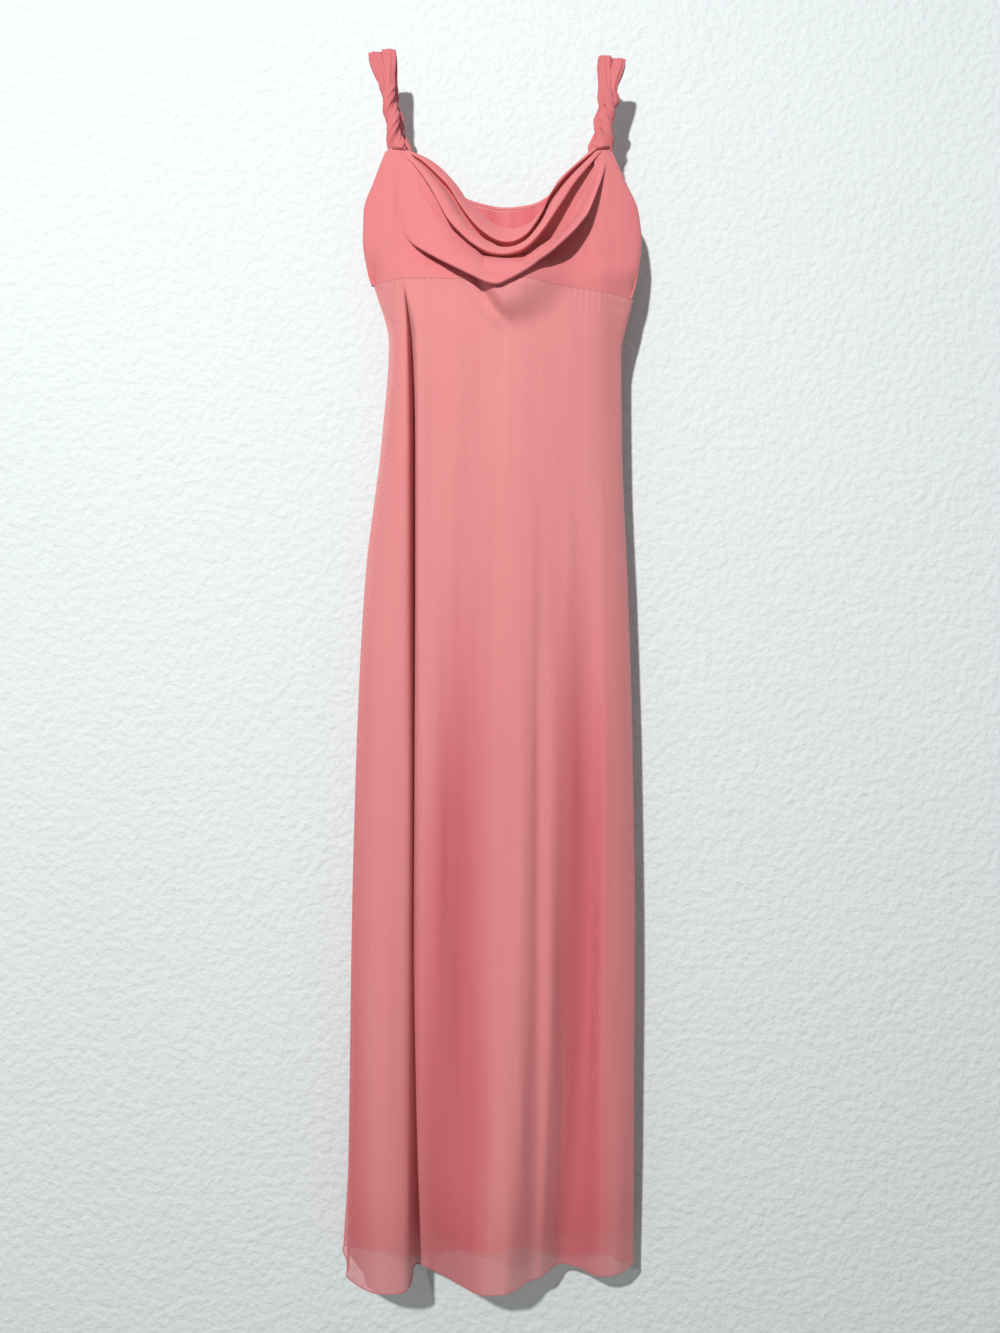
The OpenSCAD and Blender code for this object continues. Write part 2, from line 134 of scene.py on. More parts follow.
def flowing_through(keys: Sequence[float], values: np.ndarray, at: np.ndarray) -> np.ndarray:
    """Rounder curve through given values (Catmull-Rom), for cloth that turns over itself.

    Args:
        keys: Places of the values, rising.
        values: One row of values for each key.
        at: Places to read.

    Returns:
        One row of values for each place.
    """
    k, v = np.asarray(keys, float), np.asarray(values, float)
    m = np.empty_like(v)
    m[1:-1] = (v[2:] - v[:-2]) / (k[2:] - k[:-2]).reshape(-1, *[1] * (v.ndim - 1))
    m[0], m[-1] = (v[1] - v[0]) / (k[1] - k[0]), (v[-1] - v[-2]) / (k[-1] - k[-2])
    return hermite(k, v, m, at)


def round_share(place: np.ndarray) -> np.ndarray:
    """Share of the way across, -1 to 1, of a place that turns round the body at an even rate."""
    return -np.cos(np.pi / 2 * (np.clip(place, -1, 1) + 1))


def along_polyline(points: np.ndarray, shares: np.ndarray) -> np.ndarray:
    """Points at given shares of a polyline's length."""
    steps = np.linalg.norm(np.diff(points, axis=0), axis=1)
    reach = np.concatenate([[0.0], np.cumsum(steps)])
    return np.stack([np.interp(shares * reach[-1], reach, points[:, c]) for c in range(3)], axis=1)


def ripple(across: np.ndarray, down: np.ndarray, wave: float, stretch: float,
           phase: float) -> np.ndarray:
    """Long soft ripples of cloth, from -1 to 1.

    Args:
        across: Places across the cloth.
        down: Places down the cloth.
        wave: Rough distance between ripples.
        stretch: Rough length over which a ripple wanders.
        phase: Shifts the pattern.

    Returns:
        The ripple at each place.
    """
    a = 2 * math.pi * across / wave
    b = 2 * math.pi * down / stretch
    return (np.sin(a + 1.3 * np.sin(b + phase) + phase) * 0.45
            + np.sin(1.73 * a - 1.1 * np.sin(0.7 * b + 2 * phase) + 2.1 * phase) * 0.33
            + np.sin(2.91 * a + 0.9 * np.sin(1.4 * b - phase) + 4.7 * phase) * 0.22)


# ---------------------------------------------------------------------------------------------
# Mesh making
# ---------------------------------------------------------------------------------------------


def grid_object(name: str, grid: Grid, thickness: float) -> bpy.types.Object:
    """Cloth from a grid of points, as a closed thin shell.

    Args:
        name: Name of the piece.
        grid: Points of the cloth's middle surface, rows by columns.
        thickness: Thickness of the cloth in millimetres, 0 for a tube, whose last column joins
            its first.

    Returns:
        The new piece.
    """
    rows, cols = grid.shape[:2]
    tube = thickness == 0
    mesh = bpy.data.meshes.new(name)
    points = (grid.reshape(-1, 3) * MM).tolist()
    last = cols if tube else cols - 1
    faces = [(r * cols + c, (r + 1) * cols + c,
              (r + 1) * cols + (c + 1) % cols, r * cols + (c + 1) % cols)
             for r in range(rows - 1) for c in range(last)]
    if tube:
        faces += [tuple(range(cols)), tuple((rows - 1) * cols + c for c in range(cols - 1, -1, -1))]
    mesh.from_pydata(points, [], faces)
    mesh.validate()
    mesh.polygons.foreach_set("use_smooth", [True] * len(mesh.polygons))
    piece = bpy.data.objects.new(name, mesh)
    bpy.context.scene.collection.objects.link(piece)
    if not tube:
        shell = piece.modifiers.new("cloth", "SOLIDIFY")
        shell.thickness = thickness * MM
        shell.offset = 0.0
        shell.use_rim = True
        apply_modifiers(piece)
        piece.data.set_sharp_from_angle(angle=RIM_ANGLE)
    return piece


def apply_modifiers(piece: bpy.types.Object) -> None:
    """Turns a piece's modifiers into plain mesh."""
    graph = bpy.context.evaluated_depsgraph_get()
    made = bpy.data.meshes.new_from_object(piece.evaluated_get(graph))
    old = piece.data
    piece.modifiers.clear()
    piece.data = made
    made.name = piece.name
    bpy.data.meshes.remove(old)


def section_frames(path: np.ndarray, along: np.ndarray | None) -> tuple[np.ndarray, np.ndarray]:
    """Directions across a path at each of its points.

    Args:
        path: Points of the path.
        along: Direction that the sections' width keeps to, or None to carry it along the path.

    Returns:
        The width directions and the thickness directions.
    """
    tangents = np.gradient(path, axis=0)
    tangents /= np.linalg.norm(tangents, axis=1)[:, None]
    start = np.array([0.0, 1.0, 0.0]) if along is None else along
    widths = []
    current = np.cross(start, tangents[0]) if along is None else start
    for tangent in tangents:
        base = current if along is None else start
        w = base - base.dot(tangent) * tangent
        current = w / np.linalg.norm(w)
        widths.append(current)
    w = np.array(widths)
    return w, np.cross(tangents, w)


def tube_grid(path: np.ndarray, half_widths: np.ndarray, sides: int,
              along: np.ndarray | None = None,
              profile: Callable[[np.ndarray, float], np.ndarray] | None = None) -> Grid:
    """Tube round a path.

    Args:
        path: Points of the path.
        half_widths: Half width and half thickness at each point.
        sides: Points round each section.
        along: Direction that the sections' width keeps to, or None to carry it along.
        profile: Shares of the radius round a section at a share of the path, or None for 1.

    Returns:
        The tube's sections, one row each.
    """
    w, t = section_frames(path, along)
    angles = np.linspace(0, 2 * math.pi, sides, endpoint=False)
    rows = []
    for i, (point, (a, b)) in enumerate(zip(path, half_widths)):
        share = profile(angles, i / (len(path) - 1)) if profile else np.ones(sides)
        rows.append(point + w[i] * (a * share * np.cos(angles))[:, None]
                    + t[i] * (b * share * np.sin(angles))[:, None])
    return np.array(rows)


def grid_area_m2(grid: Grid) -> float:
    """Area of one layer of a grid, in square metres."""
    a, b, c, d = grid[:-1, :-1], grid[1:, :-1], grid[1:, 1:], grid[:-1, 1:]
    cross = np.cross(c - a, d - b)
    return float(np.linalg.norm(cross, axis=2).sum()) / 2 * MM * MM


# ---------------------------------------------------------------------------------------------
# Finishes
# ---------------------------------------------------------------------------------------------


def paint(red: int, green: int, blue: int) -> Colour:
    """Linear colour from 0..255 display values."""
    def linear(value: int) -> float:
        """One channel."""
        c = value / 255
        return c / 12.92 if c <= 0.04045 else ((c + 0.055) / 1.055) ** 2.4
    return (linear(red), linear(green), linear(blue))


class NodeDesk:
    """Short hand for building one node tree."""

    def __init__(self, tree: bpy.types.NodeTree) -> None:
        """Keeps the tree and clears it."""
        self.tree = tree
        tree.nodes.clear()

    def node(self, kind: str, **settings: object) -> bpy.types.Node:
        """Adds a node and sets its properties."""
        made = self.tree.nodes.new(kind)
        for name, value in settings.items():
            setattr(made, name, value)
        return made

    def link(self, source: bpy.types.NodeSocket, target: bpy.types.NodeSocket) -> None:
        """Joins two sockets."""
        self.tree.links.new(source, target)

    def feed(self, socket: bpy.types.NodeSocket, value: object) -> None:
        """Gives an input another node's output, a number or a colour."""
        if isinstance(value, bpy.types.NodeSocket):
            self.link(value, socket)
        else:
            socket.default_value = (*value, 1.0) if isinstance(value, tuple) else value

    def math(self, operation: str, a: object, b: object = None,
             clamp: bool = False) -> bpy.types.NodeSocket:
        """Adds a Math node whose inputs are sockets or numbers."""
        made = self.node("ShaderNodeMath", operation=operation, use_clamp=clamp)
        self.feed(made.inputs[0], a)
        if b is not None:
            self.feed(made.inputs[1], b)
        return made.outputs[0]

    def mix(self, factor: object, a: object, b: object) -> bpy.types.NodeSocket:
        """Adds a colour Mix node whose inputs are sockets or values."""
        made = self.node("ShaderNodeMix", data_type="RGBA")
        for index, value in ((0, factor), (6, a), (7, b)):
            self.feed(made.inputs[index], value)
        return made.outputs[2]

    def noise(self, where: bpy.types.NodeSocket, scale: object, detail: float = 3.0,
              roughness: float = 0.5) -> bpy.types.NodeSocket:
        """Adds a Noise texture and gives its value."""
        made = self.node("ShaderNodeTexNoise")
        for label, value in (("Vector", where), ("Scale", scale), ("Detail", detail),
                             ("Roughness", roughness)):
            self.feed(made.inputs[label], value)
        return made.outputs[0]

    def place(self) -> bpy.types.NodeSocket:
        """Place on the piece, in metres."""
        return self.node("ShaderNodeTexCoord").outputs["Object"]

    def upright(self, place: bpy.types.NodeSocket, height: float) -> bpy.types.NodeSocket:
        """The same place with its height scaled, so that patterns are drawn out upright."""
        made = self.node("ShaderNodeMapping")
        made.inputs["Scale"].default_value = (1.0, 1.0, height)
        self.link(place, made.inputs["Vector"])
        return made.outputs[0]

    def split(self, place: bpy.types.NodeSocket) -> bpy.types.NodeOutputs:
        """X, Y and Z of a place."""
        made = self.node("ShaderNodeSeparateXYZ")
        self.link(place, made.inputs[0])
        return made.outputs

    def group(self, tree: bpy.types.NodeTree, **values: object) -> bpy.types.NodeOutputs:
        """Adds a node group with some of its inputs set, and gives its outputs."""
        made = self.node("ShaderNodeGroup", node_tree=tree)
        for label, value in values.items():
            self.feed(made.inputs[label.replace("_", " ")], value)
        return made.outputs

    def bump(self, height: bpy.types.NodeSocket, strength: float, distance: float,
             over: bpy.types.NodeSocket | None = None) -> bpy.types.NodeSocket:
        """Adds a Bump node.

        Args:
            height: The relief.
            strength: Share of the relief that is used.
            distance: Height of the relief in metres.
            over: Normal that the relief is laid over, None for the mesh's own.

        Returns:
            The new normal.
        """
        made = self.node("ShaderNodeBump")
        made.inputs["Strength"].default_value = strength
        made.inputs["Distance"].default_value = distance
        self.link(height, made.inputs["Height"])
        if over is not None:
            self.link(over, made.inputs["Normal"])
        return made.outputs[0]


def open_material(name: str) -> tuple[bpy.types.Material, NodeDesk, bpy.types.Node, bpy.types.Node]:
    """Starts a material with nothing in its tree but a shader and an output.

    Args:
        name: Name of the material.

    Returns:
        The material, its desk, its Principled shader and its output node.
    """
    made = bpy.data.materials.new(name)
    made.use_nodes = True
    desk = NodeDesk(made.node_tree)
    return made, desk, desk.node("ShaderNodeBsdfPrincipled"), desk.node("ShaderNodeOutputMaterial")


class GroupMaker:
    """Builds each shared effect once, as a node group."""

    @staticmethod
    def start(name: str, inputs: dict[str, float | Colour], **outputs: str) -> tuple[
            bpy.types.NodeTree, NodeDesk, bpy.types.NodeOutputs, bpy.types.NodeInputs]:
        """Opens a new group with its sockets.

        Args:
            name: Name of the group.
            inputs: Input names with their values.
            outputs: Output names with the last part of their sockets' type.

        Returns:
            The group, its desk, what it is given and what it puts out.
        """
        tree = bpy.data.node_groups.new(name, "ShaderNodeTree")
        for label, value in inputs.items():
            kind = "Color" if isinstance(value, tuple) else "Float"
            socket = tree.interface.new_socket(label, in_out="INPUT",
                                               socket_type=f"NodeSocket{kind}")
            socket.default_value = (*value, 1.0) if isinstance(value, tuple) else value
        for label, kind in outputs.items():
            tree.interface.new_socket(label, in_out="OUTPUT", socket_type=f"NodeSocket{kind}")
        desk = NodeDesk(tree)
        return tree, desk, desk.node("NodeGroupInput").outputs, desk.node("NodeGroupOutput").inputs

    @cached_property
    def weave(self) -> bpy.types.NodeTree:
        """Plain weave: crossing threads that go over and under, by place on the gown."""
        tree, desk, given, out = self.start(
            "Plain weave", {"Threads per metre": 1500.0, "Slub": 0.35},
            Height="Float", Gaps="Float")
        place = desk.place()
        x, y, z = desk.split(place)
        side = desk.math("ADD", x, desk.math("MULTIPLY", y, 0.8))
        turn = desk.math("MULTIPLY", given["Threads per metre"], math.pi)
        warp = desk.math("SINE", desk.math("MULTIPLY", side, turn))
        weft = desk.math("SINE", desk.math("MULTIPLY", z, turn))
        slubbed = desk.math("MULTIPLY", desk.noise(place, 900.0, 2.0), given["Slub"])
        threads = desk.math("MAXIMUM", desk.math("ABSOLUTE", warp), desk.math("ABSOLUTE", weft))
        desk.link(desk.math("ADD", threads, slubbed), out["Height"])
        gaps = desk.math("SUBTRACT", 1.0, threads, clamp=True)
        desk.link(desk.math("MULTIPLY", gaps, 3.0, clamp=True), out["Gaps"])
        return tree

    @cached_property
    def tone(self) -> bpy.types.NodeTree:
        """Uneven dye and handling in soft clouds and a fine mottle, with painted shade of the lower
        skirt's folds in upright streaks.
        """
        tree, desk, given, out = self.start(
            "Cloth tone", {"Light": (0.8, 0.4, 0.4), "Deep": (0.7, 0.3, 0.3), "Cloud": 0.5,
                           "Mottle": 0.35, "Streak": 0.0}, Colour="Color", Mask="Float")
        place = desk.place()
        upright = desk.upright(place, 0.16)
        cloud = desk.math("MULTIPLY", desk.noise(upright, 16.0, 3.0), given["Cloud"])
        mottle = desk.math("MULTIPLY", desk.noise(place, 420.0, 4.0, 0.65), given["Mottle"])
        x, _, z = desk.split(place)
        # Painted shade: darker upright streaks stand for the shade in the lower skirt's folds,
        # stronger below LOW_FOLDS_Z.
        wander = desk.math("MULTIPLY", desk.noise(upright, 9.0, 2.0), 2.4)
        turn = desk.math("ADD", desk.math("MULTIPLY", x, 2 * math.pi / FOLD_WAVE), wander)
        wave = desk.math("SINE", desk.math("ADD", turn, FOLD_PHASE))
        low = desk.math("MULTIPLY", desk.math("SUBTRACT", LOW_FOLDS_Z, z), 3.0, clamp=True)
        raised = desk.math("ADD", desk.math("MAXIMUM", wave, -0.15), 0.35)
        deeper = desk.math("MULTIPLY", raised, low)
        painted_fold_shade = desk.math("MULTIPLY", deeper, given["Streak"])
        mask = desk.math("ADD", desk.math("ADD", cloud, mottle), painted_fold_shade, clamp=True)
        desk.link(desk.mix(mask, given["Light"], given["Deep"]), out["Colour"])
        desk.link(mask, out["Mask"])
        return tree

    @cached_property
    def crinkle(self) -> bpy.types.NodeTree:
        """Fine crepe crinkle and the softer creases of handled cloth, as a height."""
        tree, desk, given, out = self.start(
            "Crepe crinkle", {"Crepe scale": 700.0, "Crease scale": 38.0, "Crease": 0.6},
            Height="Float")
        place = desk.place()
        crepe = desk.noise(place, given["Crepe scale"], 3.0, 0.6)
        soft = desk.noise(desk.upright(place, 0.28), given["Crease scale"], 2.0)
        crease = desk.math("MULTIPLY", soft, given["Crease"])
        desk.link(desk.math("ADD", crepe, crease), out["Height"])
        return tree


GROUPS = GroupMaker()


@dataclass(frozen=True)
class ClothFinish:
    """A woven cloth: its colours, sheen and fineness."""

    name: str
    light: Colour
    deep: Colour
    threads: float = 1500.0
    roughness: float = 0.72
    sheen: float = 0.3
    sheen_tint: Colour = (1.0, 0.78, 0.76)
    specular: float = 0.25
    weave_bump: float = 0.12
    crinkle_bump: float = 0.25
    cover: float = 1.0          # how much one face of the cloth hides, 1 for opaque
    lined_cover: float = 0.0    # how much more it hides where it lies on the lining
    open_gaps: float = 0.12     # how much less it hides between the threads
    dense_shadow: float = 0.14  # how much more light its crossing threads stop than they hide
    cloud: float = 0.55
    mottle: float = 0.3
    painted_fold_shade: float = 0.0         # strength of the painted shade streaked into the lower skirt's folds

    def material(self) -> bpy.types.Material:
        """Builds the material, or gives the one that is there."""
        if self.name in bpy.data.materials:
            return bpy.data.materials[self.name]
        made, desk, shader, out = open_material(self.name)
        desk.link(shader.outputs[0], out.inputs["Surface"])
        shader.inputs["Specular IOR Level"].default_value = self.specular
        shader.inputs["Sheen Weight"].default_value = self.sheen
        shader.inputs["Sheen Roughness"].default_value = 0.45
        shader.inputs["Sheen Tint"].default_value = (*self.sheen_tint, 1.0)
        tone = desk.group(GROUPS.tone, Light=self.light, Deep=self.deep, Cloud=self.cloud,
                          Mottle=self.mottle, Streak=self.painted_fold_shade)
        desk.link(tone["Colour"], shader.inputs["Base Color"])
        rough = desk.math("ADD", desk.math("MULTIPLY", tone["Mask"], 0.12), self.roughness - 0.06)
        desk.link(rough, shader.inputs["Roughness"])
        weave = desk.group(GROUPS.weave, Threads_per_metre=self.threads)
        fine = desk.bump(weave["Height"], self.weave_bump, 0.0002)
        soft = desk.bump(desk.group(GROUPS.crinkle)["Height"], self.crinkle_bump, 0.0012, fine)
        desk.link(soft, shader.inputs["Normal"])
        if self.cover < 1:
            lining_up = (FORM.hem_down - FORM.lining_lift) * MM
            above = desk.math("ADD", desk.split(desk.place())[2], lining_up)
            over_lining = desk.math("MULTIPLY", above, 12.0, clamp=True)
            lined = desk.math("MULTIPLY", over_lining, self.lined_cover)
            gaps = desk.math("MULTIPLY", weave["Gaps"], self.open_gaps)
            hidden = desk.math("SUBTRACT", desk.math("ADD", lined, self.cover), gaps, clamp=True)
            shadow = desk.node("ShaderNodeLightPath").outputs["Is Shadow Ray"]
            denser = desk.math("MULTIPLY", shadow, self.dense_shadow)
            desk.link(desk.math("ADD", hidden, denser, clamp=True), shader.inputs["Alpha"])
        return made


@dataclass(frozen=True)
class HardFinish:
    """Moulded plastic or drawn wire."""

    name: str
    light: Colour
    deep: Colour
    metallic: float = 0.0
    roughness: float = 0.4
    coat: float = 0.0

    def material(self) -> bpy.types.Material:
        """Builds the material, or gives the one that is there."""
        if self.name in bpy.data.materials:
            return bpy.data.materials[self.name]
        made, desk, shader, out = open_material(self.name)
        desk.link(shader.outputs[0], out.inputs["Surface"])
        shader.inputs["Metallic"].default_value = self.metallic
        shader.inputs["Coat Weight"].default_value = self.coat
        tone = desk.group(GROUPS.tone, Light=self.light, Deep=self.deep)
        desk.link(tone["Colour"], shader.inputs["Base Color"])
        rough = desk.math("ADD", desk.math("MULTIPLY", tone["Mask"], 0.2), self.roughness - 0.1)
        desk.link(rough, shader.inputs["Roughness"])
        desk.link(desk.bump(tone["Mask"], 0.15, 0.0002), shader.inputs["Normal"])
        return made


class Finish(Enum):
    """The gown's finishes."""

    # The coral chiffon's streaks are painted shade in its lower folds.
    CHIFFON = ClothFinish("coral chiffon", paint(255, 172, 170), paint(232, 125, 131), cover=0.5,
                          lined_cover=0.15, sheen=0.45, sheen_tint=(1.0, 0.66, 0.62), cloud=0.4,
                          mottle=0.22, painted_fold_shade=0.6)
    FOLDED_CHIFFON = ClothFinish("folded chiffon", paint(220, 130, 132), paint(205, 110, 113),
                                 sheen=0.25)
    STRAP_CHIFFON = ClothFinish("twisted chiffon", paint(216, 121, 124), paint(196, 99, 104),
                                sheen=0.22, crinkle_bump=0.4)
    LINING = ClothFinish("coral lining", paint(216, 104, 111), paint(202, 89, 97), threads=2400.0,
                         roughness=0.5, sheen=0.15, crinkle_bump=0.12)
    BINDING = ClothFinish("bias binding", paint(222, 131, 131), paint(208, 113, 116),
                          threads=2000.0)
    TAPE = ClothFinish("woven tape", paint(232, 124, 128), paint(218, 110, 114), threads=1100.0,
                       roughness=0.6, weave_bump=0.4)
    LABEL = ClothFinish("woven label", paint(246, 244, 240), paint(228, 225, 220), threads=1800.0,
                        roughness=0.5, sheen_tint=(1.0, 1.0, 1.0))
    THREAD = ClothFinish("rolled chiffon", paint(206, 146, 147), paint(190, 128, 130),
                         threads=3000.0, cover=0.6)
    ZIP_PLASTIC = HardFinish("zip plastic", paint(226, 116, 120), paint(210, 102, 107), coat=0.2)
    WIRE = HardFinish("nickel wire", paint(206, 206, 210), paint(176, 176, 182), metallic=1.0,
                      roughness=0.32)

    def dress(self, piece: bpy.types.Object) -> bpy.types.Object:
        """Puts this finish on a piece."""
        piece.data.materials.clear()
        piece.data.materials.append(self.value.material())
        return piece


# ---------------------------------------------------------------------------------------------
# The hanging form that the panels share
# ---------------------------------------------------------------------------------------------


@dataclass(frozen=True)
class HangingForm:
    """Outline of the hanging gown by distance down from the hang point."""

    down: tuple[float, ...] = (-10, 110, 150, 190, 225, 265, 300, 335, 365, 480, 610, 795, 1165,
                               1560)
    left: tuple[float, ...] = (-134, -134, -150, -165, -166, -160, -148, -136, -134, -143, -160,
                               -171, -180, -183)
    right: tuple[float, ...] = (138, 138, 156, 175, 179, 175, 166, 158, 154, 155, 161, 167, 171,
                                170)
    front: tuple[float, ...] = (10, 12, 22, 30, 34, 36, 36, 36, 36, 36, 38, 38, 38, 38)
    back: tuple[float, ...] = (12, 12, 13, 15, 16, 17, 18, 18, 19, 21, 25, 30, 38, 44)
    waist_down: float = 289.0
    waist_tilt: float = 9.0
    underarm_down: float = 215.0
    seam_left: float = -120.0
    seam_right: float = 138.0
    seam_y: float = 14.0
    zip_top: float = 222.0
    zip_length: float = 334.0
    zip_half_gap: float = 1.2
    hem_down: float = 1500.0
    lining_lift: float = 43.0

    def read(self, values: Sequence[float], down: np.ndarray) -> np.ndarray:
        """One column of the outline at given distances down."""
        return smooth_through(self.down, values, down)

    def waist(self, share: np.ndarray) -> np.ndarray:
        """Distance down of the waist seam at a place across, -1 to 1."""
        return self.waist_down + self.waist_tilt * share

    def edge_y(self, down: np.ndarray) -> np.ndarray:
        """How far the side edges come forward above the underarm."""
        return -8 * ease((self.underarm_down - down) / 100)

    def zip_open(self, down: np.ndarray) -> np.ndarray:
        """1 along the zip and 0 below it."""
        return ease((self.zip_top + self.zip_length + 26 - down) / 10)


FORM = HangingForm()


def slack(x: np.ndarray, down: np.ndarray) -> np.ndarray:
    """How far the centre front stands out in the slack pouch under the cowl.

    Args:
        x: Places across.
        down: Distances down.

    Returns:
        Millimetres forwards.
    """
    levels = (250, 284, 300, 318, 330, 339, 348)
    left = smooth_through(levels, (-36, -30, -21, -11, -1, 7, 14), down)
    right = smooth_through(levels, (90, 80, 68, 54, 42, 32, 26), down)
    height = smooth_through(levels, (9, 16, 20, 19, 13, 6, 0), down)
    pouch = height * ease((x - left) / 17) * ease((right + 22 - x) / 68)
    lip = 4.6 * ease((x - left + 22) / 17) * (1 - ease((x - left + 3) / 7.0)) * ease(height / 8)
    return pouch + lip


@dataclass(frozen=True)
class Guide:
    """One hanging line of the skirt: where it lies across and in depth at each level."""

    across: tuple[float, ...]
    depth: tuple[float, ...]


@dataclass
class HungSkirt:
    """A skirt panel that hangs from the waist seam, shaped by its hanging lines."""

    levels: tuple[float, ...] = ()
    lines: tuple[Guide, ...] = ()
    rows: int = 130
    columns: int = 130
    row_crowding: float = 1.12      # above 1 the rows lie closer together near the waist
    least_step: float = 3.0         # added to each guide's distance from the last one

    def guides(self) -> Sequence[Guide]:
        """All guides from one seam to the other."""
        return self.lines

    def hung(self) -> Grid:
        """The panel's surface before its small ripples."""
        share = np.linspace(0, 1, self.rows) ** self.row_crowding
        level = lerp(FORM.waist_down, FORM.hem_down, share)
        guides = self.guides()
        ends = np.array([[g.across, g.depth] for g in guides])
        steps = np.linalg.norm(np.diff(ends, axis=0), axis=1).mean(axis=1) + self.least_step
        keys = np.concatenate([[0.0], np.cumsum(steps)])
        table = np.array([[smooth_through(self.levels, line, level) for line in (g.across, g.depth)]
                          for g in guides])                  # guide, axis, row
        plan = flowing_through(keys, np.transpose(table, (0, 2, 1)),
                               np.linspace(0, keys[-1], self.columns))   # column, row, axis
        grid = np.zeros((self.rows, self.columns, 3))
        grid[:, :, :2] = np.transpose(plan, (1, 0, 2))
        x = grid[0, :, 0]
        centre, half = (x.min() + x.max()) / 2, (x.max() - x.min()) / 2
        tilt = FORM.waist_tilt * np.clip((x - centre) / half, -1, 1)
        grid[:, :, 2] = -(level[:, None] + tilt[None, :] * (1 - share[:, None]) ** 2)
        return grid


@dataclass
class SkirtFront(HungSkirt):
    """Outer front skirt: soft crests and valleys, with one deep pleat at the left."""

    levels: tuple[float, ...] = (290, 360, 480, 650, 850, 1100, 1300, 1500)
    left_seam: Guide = Guide((-120, -120, -122, -126, -131, -140, -158, -188),
                             (14, 14, 14, 14, 14, 15, 15, 16))
    left_edge: Guide = Guide((-152, -134, -143, -163, -173, -179, -181, -183),
                             (0, 0, 0, -2, -5, -8, -12, -16))
    lines: tuple[Guide, ...] = (
        Guide((-125, -122, -126, -132, -137, -140, -142, -144),
              (-24, -25, -26, -30, -34, -40, -44, -47)),
        Guide((-114, -109, -107, -107, -107, -108, -108, -108),
              (-29, -30, -31, -33, -35, -38, -40, -42)),
        Guide((-113, -105, -102, -102, -102, -103, -103, -103), (-29, -8, 3, 2, -10, -18, -10, 10)),
        Guide((-112, -98, -96, -96, -96, -95, -93, -88), (-30, -34, -36, -36, -34, -28, -15, 6)),
        Guide((-81, -79, -76, -76, -74, -71, -69, -65), (-34, -37, -39, -39, -40, -39, -31, -12)),
        Guide((-51, -48, -45, -42, -40, -39, -41, -41), (-37, -41, -42, -39, -35, -31, -32, -34)),
        Guide((-14, -13, -12, -12, -12, -12, -17, -26), (-37, -40, -40, -37, -36, -36, -38, -46)),
        Guide((11, 13, 16, 19, 22, 18, 8, -8), (-37, -41, -43.5, -43.5, -44.5, -46.5, -49, -52)),
        Guide((32, 33, 35, 37, 39, 36, 28, 14), (-36.5, -40, -42.5, -43, -44, -44, -46, -47)),
        Guide((50, 50, 50, 50, 51, 50, 48, 42), (-35, -38, -39.5, -39, -37, -34, -29, -21)),
        Guide((62, 62, 63, 64, 66, 65, 62, 56), (-34, -37, -39, -37.5, -38, -36, -28, -13)),
        Guide((84, 84, 86, 88, 90, 88, 84, 78), (-32, -35, -36, -33, -29, -20, -8, 13)),
        Guide((103, 103, 105, 108, 112, 112, 106, 100), (-29, -31, -32, -28, -22, -11, -2, 6)),
        Guide((126, 126, 128, 130, 132, 130, 128, 124), (-24, -24, -25, -27, -28, -26, -20, -13)),
        Guide((148, 143, 146, 150, 153, 153, 152, 148), (-13, -12, -13, -15, -17, -17, -14, -9)),
    )
    right_edge: Guide = Guide((168, 154, 155, 162, 168, 171, 170, 170), (0, 0, 0, 0, 0, 0, 2, 12))
    right_seam: Guide = Guide((138, 138, 138, 138, 139, 141, 145, 150),
                              (14, 14, 14, 15, 15, 17, 18, 20))
    rows: int = 150
    columns: int = 190

    def turn(self, edge: Guide, seam: Guide) -> Guide:
        """The rounded corner between a side edge and its seam behind."""
        return Guide(tuple(lerp(a, b, 0.3) for a, b in zip(edge.across, seam.across)),
                     tuple(lerp(a, b, 0.72) for a, b in zip(edge.depth, seam.depth)))

    def guides(self) -> Sequence[Guide]:
        """All guides from side seam to side seam."""
        return [self.left_seam, self.turn(self.left_edge, self.left_seam), self.left_edge,
                *self.lines,
                self.right_edge, self.turn(self.right_edge, self.right_seam), self.right_seam]

    def grid(self) -> Grid:
        """The cloth's middle surface from the waist seam to the hem."""
        grid = self.hung()
        x, y, down = grid[:, :, 0], grid[:, :, 1], -grid[:, :, 2]      # x and y are shaped in place
        side = np.clip((down - 300) / 500, 0, 1)
        front = bell(x, 0, 190) * ease((6 - y) / 20)
        y += front * (ripple(x, down, 58, 700, 0.4) * (0.4 + 0.9 * side)
                      + ripple(x, down, 24, 260, 1.9) * 0.17)
        y -= slack(x, down) * (y < -10)
        gather = ease((345 - down) / 60)
        y += gather * 0.8 * (bell(x, -118, 14) + bell(x, -84, 12) + 0.8 * bell(x, 118, 26)) \
            * np.sin(2 * math.pi * x / 7.5)
        zip_side = (x > 120) & (y > 4)
        x += np.where(zip_side, FORM.zip_half_gap * FORM.zip_open(down), 0)
        pucker = FORM.zip_open(down) * bell(x, 150, 12)
        y += pucker * 0.7 * np.sin(2 * math.pi * down / 17)
        return grid


